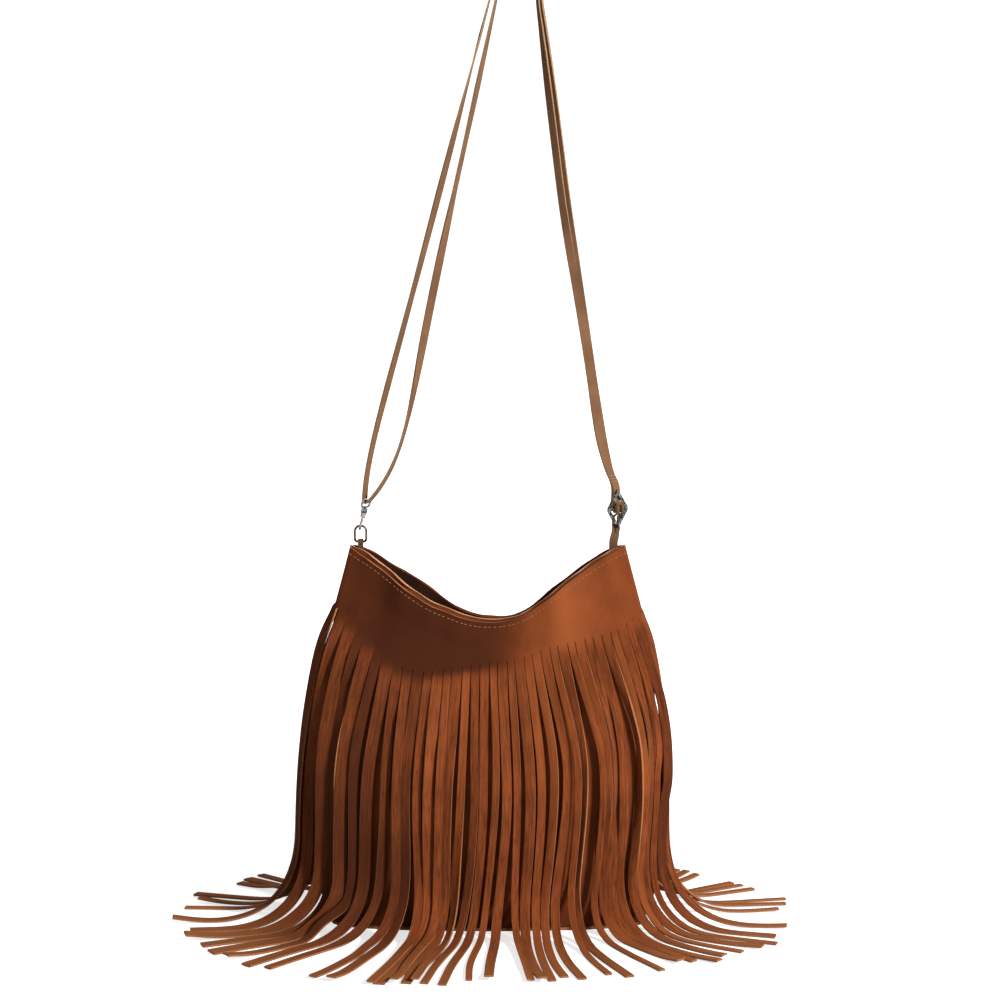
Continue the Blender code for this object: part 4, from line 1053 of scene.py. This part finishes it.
def suede(name, dark, main, light, tip=None):
    """Napped suede: soft brushed patches, short fibres and, on strips, streaks down their length."""
    made, tree, shader = blank_material(name)
    patches = ramped(tree, noise(tree, 26, 3), 0.34, 0.68)
    middle = [0.45 * d + 0.55 * m for d, m in zip(dark, main)]
    colour = blend_colour(tree, patches, middle, main)
    on_strips = ramped(tree, mark(tree, "tip"), 0.0, 0.05, 0.10, 0.60)
    streaks = ramped(tree, noise(tree, 620, 3, (1, 22, 1), "lie"), 0.36, 0.72)
    colour = blend_colour(tree, product(tree, streaks, on_strips), colour, light)
    veins = ramped(tree, noise(tree, 900, 2, (1, 14, 1), "lie"), 0.52, 0.30)
    colour = blend_colour(tree, product(tree, veins, on_strips), colour, dark)
    fibre = ramped(tree, noise(tree, 2600, 2), 0.3, 0.75, 0.0, 0.30)
    colour = blend_colour(tree, fibre, colour, dark)
    # The tone mark brings the strips' random tone together with painted light and shade: lighter toward the
    # light colour, darker toward the dark colour
    tone_and_shading = mark(tree, "tone_and_shading")
    colour = blend_colour(tree, ramped(tree, tone_and_shading, 0.5, 1.0, 0.0, 0.75), colour, light)
    colour = blend_colour(tree, ramped(tree, tone_and_shading, 0.5, 0.0, 0.0, 0.92), colour, dark)
    if tip:
        faded = ramped(tree, mark(tree, "tip"), 0.62, 1.0, 0.0, 0.55)
        colour = blend_colour(tree, faded, colour, tip)
    tree.links.new(colour, shader.inputs["Base Color"])
    shader.inputs["Roughness"].default_value = 0.93
    shader.inputs["Specular IOR Level"].default_value = 0.08
    shader.inputs["Sheen Weight"].default_value = 0.05
    shader.inputs["Sheen Roughness"].default_value = 0.45
    shader.inputs["Sheen Tint"].default_value = (1.0, 0.45, 0.20, 1.0)
    heights = [(noise(tree, 55, 3), 0.15, 0.0010), (noise(tree, 700, 2, (1, 12, 1), "lie"), 0.22, 0.0003)]
    heights.append((noise(tree, 3200, 2), 0.3, 0.00012))
    bumps(tree, shader, heights)
    return made


def cut_edge(name, main, light):
    """The raw side of a cut strip: paler, with fibres standing out."""
    made, tree, shader = blank_material(name)
    fibre = ramped(tree, noise(tree, 2400, 3), 0.35, 0.7)
    tree.links.new(blend_colour(tree, fibre, main, light), shader.inputs["Base Color"])
    shader.inputs["Roughness"].default_value = 0.9
    shader.inputs["Specular IOR Level"].default_value = 0.2
    bumps(tree, shader, [(noise(tree, 2200, 3), 0.5, 0.0002)])
    return made


def woven(name, dark, light):
    """Plain lining cloth with its threads."""
    made, tree, shader = blank_material(name)
    coords = node(tree, "ShaderNodeAttribute", attribute_name="lie")
    weaves = []
    for direction in ("X", "Y"):
        wave = node(tree, "ShaderNodeTexWave", Scale=330.0, Distortion=0.4, bands_direction=direction)
        tree.links.new(coords.outputs["Vector"], wave.inputs["Vector"])
        weaves.append(wave.outputs["Fac"])
    threads = product(tree, *weaves)
    cloudy = ramped(tree, noise(tree, 60, 3), 0.3, 0.7, 0.0, 0.5)
    colour = blend_colour(tree, threads, dark, light)
    tree.links.new(blend_colour(tree, cloudy, colour, dark), shader.inputs["Base Color"])
    shader.inputs["Roughness"].default_value = 0.9
    shader.inputs["Specular IOR Level"].default_value = 0.1
    bumps(tree, shader, [(threads, 0.4, 0.0002)])
    return made


def spun(name, dark, light):
    """Sewing thread with its twist."""
    made, tree, shader = blank_material(name)
    strands = ramped(tree, noise(tree, 3000, 2), 0.35, 0.65)
    tree.links.new(blend_colour(tree, strands, dark, light), shader.inputs["Base Color"])
    shader.inputs["Roughness"].default_value = 0.6
    bumps(tree, shader, [(strands, 0.4, 0.0001)])
    return made


def metal(name, dark, light, roughness, wear=0.5):
    """Cast or plated metal: darker patches in it, fine scratches and small dents."""
    made, tree, shader = blank_material(name)
    stain = ramped(tree, noise(tree, 420, 4), 0.38, 0.38 + wear * 0.4)
    tree.links.new(blend_colour(tree, stain, dark, light), shader.inputs["Base Color"])
    rough = ramped(tree, noise(tree, 1500, 3), 0.3, 0.7, roughness * 0.75, roughness * 1.3)
    tree.links.new(rough, shader.inputs["Roughness"])
    shader.inputs["Metallic"].default_value = 1.0
    dents = (noise(tree, 1400, 3), 0.25, 0.0001)
    bumps(tree, shader, [dents, (noise(tree, 5000, 2, (6, 1, 1)), 0.15, 0.00004)])
    return made


def backdrop_material():
    """White to the camera, yet it keeps the bag's shadow close to it."""
    made, tree, shader = blank_material("pale_floor")
    grain = ramped(tree, noise(tree, 6, 2), 0.3, 0.7)
    tree.links.new(blend_colour(tree, grain, (0.80, 0.80, 0.80), (0.82, 0.82, 0.82)),
                   shader.inputs["Base Color"])
    shader.inputs["Roughness"].default_value = 0.9
    shader.inputs["Specular IOR Level"].default_value = 0.1
    rays = tree.nodes.new("ShaderNodeLightPath")
    either = node(tree, "ShaderNodeMath", operation="MAXIMUM")
    tree.links.new(rays.outputs["Is Camera Ray"], either.inputs[0])
    tree.links.new(rays.outputs["Is Glossy Ray"], either.inputs[1])
    spot = tree.nodes.new("ShaderNodeNewGeometry")
    away = node(tree, "ShaderNodeVectorMath", operation="LENGTH")
    tree.links.new(spot.outputs["Position"], away.inputs[0])
    lift = ramped(tree, away.outputs["Value"], 0.35, 1.0, FLOOR_LIFT_NEAR, FLOOR_LIFT_FAR)
    shader.inputs["Emission Color"].default_value = (1, 1, 1, 1)
    tree.links.new(product(tree, either.outputs[0], lift), shader.inputs["Emission Strength"])
    return made


def set_camera():
    data = bpy.data.cameras.new("camera")
    data.sensor_width = 36
    data.lens = CAMERA_LENS
    camera = place_object("camera", data)
    camera.location = CAMERA_PLACE
    camera.rotation_euler = (CAMERA_TILT, 0, 0)
    bpy.context.scene.camera = camera


def area_light(name, place, target, size, power, colour=(1, 1, 1)):
    data = bpy.data.lights.new(name, "AREA")
    data.shape = "DISK"
    data.size = size
    data.energy = power
    data.color = colour
    lamp = place_object(name, data)
    lamp.location = place
    lamp.rotation_euler = (Vector(target) - Vector(place)).to_track_quat("-Z", "Y").to_euler()


def set_stage():
    mesh = bmesh.new()
    bmesh.ops.create_grid(mesh, x_segments=1, y_segments=1, size=30.0)
    data = bpy.data.meshes.new("floor")
    mesh.to_mesh(data)
    mesh.free()
    data.materials.append(backdrop_material())
    place_object("floor", data)
    world = bpy.data.worlds.new("studio")
    world.use_nodes = True
    bpy.context.scene.world = world
    tree = world.node_tree
    ground = tree.nodes["Background"]
    ground.inputs["Color"].default_value = (1, 1, 1, 1)
    rays = tree.nodes.new("ShaderNodeLightPath")
    either = node(tree, "ShaderNodeMath", operation="MAXIMUM")
    tree.links.new(rays.outputs["Is Camera Ray"], either.inputs[0])
    tree.links.new(rays.outputs["Is Glossy Ray"], either.inputs[1])
    strength = ramped(tree, either.outputs[0], 0.0, 1.0, 0.17, 1.0)
    tree.links.new(strength, ground.inputs["Strength"])
    area_light("key", (2.0, -1.75, 1.55), (0, 0, 0.2), 0.5, 112)
    area_light("fill", (-1.6, -2.6, 0.8), (0, 0, 0.25), 1.6, 5)
    area_light("back", (0.4, 2.2, 1.8), (0, 0, 0.25), 1.4, 26)
    bpy.context.scene.view_settings.view_transform = "Standard"


def soft_piece(piece, slot, *replaced):
    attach(piece, "root")
    if replaced:
        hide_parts(*replaced)


def bevelled(obj, width, segments):
    """Rounds the sharp edges of a metal node as it is drawn; its mesh stays as it is."""
    step = obj.modifiers.new("worn_edges", "BEVEL")
    step.width = width
    step.segments = segments
    step.limit_method = "ANGLE"
    step.angle_limit = math.radians(28)
    step.harden_normals = False


set_camera()
set_stage()

# The dark and light suede colours serve the patches, fibres and streaks, and also the painted light and shade
# that the tone mark carries
SUEDE_DARK = (0.046, 0.0115, 0.0042)
SUEDE_MAIN = (0.215, 0.0495, 0.0135)
SUEDE_LIGHT = (0.34, 0.088, 0.0235)
LOOKS = {
    "suede": suede("suede", SUEDE_DARK, SUEDE_MAIN, SUEDE_LIGHT, tip=(0.34, 0.120, 0.036)),
    "suede_edge": cut_edge("suede_cut_edge", (0.22, 0.072, 0.026), (0.44, 0.19, 0.08)),
    "rim_edge": cut_edge("suede_rim_edge", (0.42, 0.18, 0.08), (0.62, 0.34, 0.18)),
    "tab": suede("tab_suede", (0.05, 0.026, 0.014), (0.125, 0.070, 0.037), (0.19, 0.112, 0.062)),
    "lining": woven("lining_cloth", (0.014, 0.004, 0.002), (0.060, 0.019, 0.008)),
    "strap": suede("strap_suede", (0.075, 0.035, 0.017), (0.21, 0.106, 0.053), (0.34, 0.185, 0.10)),
    "strap_edge": cut_edge("strap_cut_edge", (0.20, 0.105, 0.05), (0.46, 0.29, 0.165)),
    "thread": spun("sewing_thread", (0.24, 0.092, 0.036), (0.40, 0.175, 0.08)),
    "silver": metal("silver_metal", (0.06, 0.054, 0.048), (0.30, 0.285, 0.26), 0.24),
    "antique": metal("antique_silver", (0.020, 0.017, 0.014), (0.25, 0.23, 0.205), 0.32, 0.8),
    "brass": metal("dark_brass", (0.014, 0.010, 0.007), (0.12, 0.09, 0.06), 0.35, 0.7),
}
SUEDE_PAIR = (LOOKS["suede"], LOOKS["suede_edge"])
STRAP_PAIR = (LOOKS["strap"], LOOKS["strap_edge"])
TAB_PAIR = (LOOKS["tab"], LOOKS["strap_edge"])
LINING_PAIR = (LOOKS["lining"], LOOKS["lining"])
WALL_PAIR = (LOOKS["suede"], LOOKS["rim_edge"])

front = fringe_sheet(-1, "fringe_sheet_front", SUEDE_PAIR, front_plan())
back = fringe_sheet(1, "fringe_sheet_back", SUEDE_PAIR, back_plan())
soft_piece(front, "suede", "fringe_front")
soft_piece(back, "suede", "fringe_back")
for side, name in ((-1, "body_front"), (1, "body_back")):
    wall = wall_sheet(side, name + "_panel", WALL_PAIR)
    soft_piece(wall, "suede", name)
sole = plan_floor("base_sole", SUEDE_PAIR, 0.0, 0.0, BASE_THICKNESS)
soft_piece(sole, "suede", "base_panel")
bag, bag_floor = lining_bag(LINING_PAIR)
soft_piece(bag, "lining_cloth", "lining")
soft_piece(bag_floor, "lining_cloth")
soft_piece(tab_left(TAB_PAIR), "strap_suede", "tab_left")
soft_piece(tab_right(TAB_PAIR), "strap_suede", "tab_right")
strap_points, strap_widths, band = strap(STRAP_PAIR)
soft_piece(band, "strap_suede", "shoulder_strap")
for side, name in ((-1, "rim_stitches_front"), (1, "rim_stitches_back")):
    row = rim_stitches(side, name, LOOKS["thread"])
    soft_piece(row, "suede")
tack = bar_tack("strap_tack", LOOKS["thread"], strap_points, strap_widths, (0.097, 0.0, 0.366), 3)
soft_piece(tack, "strap_suede")

for name, look in (
    ("ring_left", "brass"), ("hook_body", "silver"), ("hook_gate", "silver"), ("gate_pin", "silver"),
    ("swivel_eye", "silver"), ("buckle_frame", "antique"), ("buckle_prong", "antique"),
    ("snap_stud", "silver"), ("snap_socket", "silver"),
):
    NODES[name].data.materials.clear()
    NODES[name].data.materials.append(LOOKS[look])
    bevelled(NODES[name], 0.00022, 3)
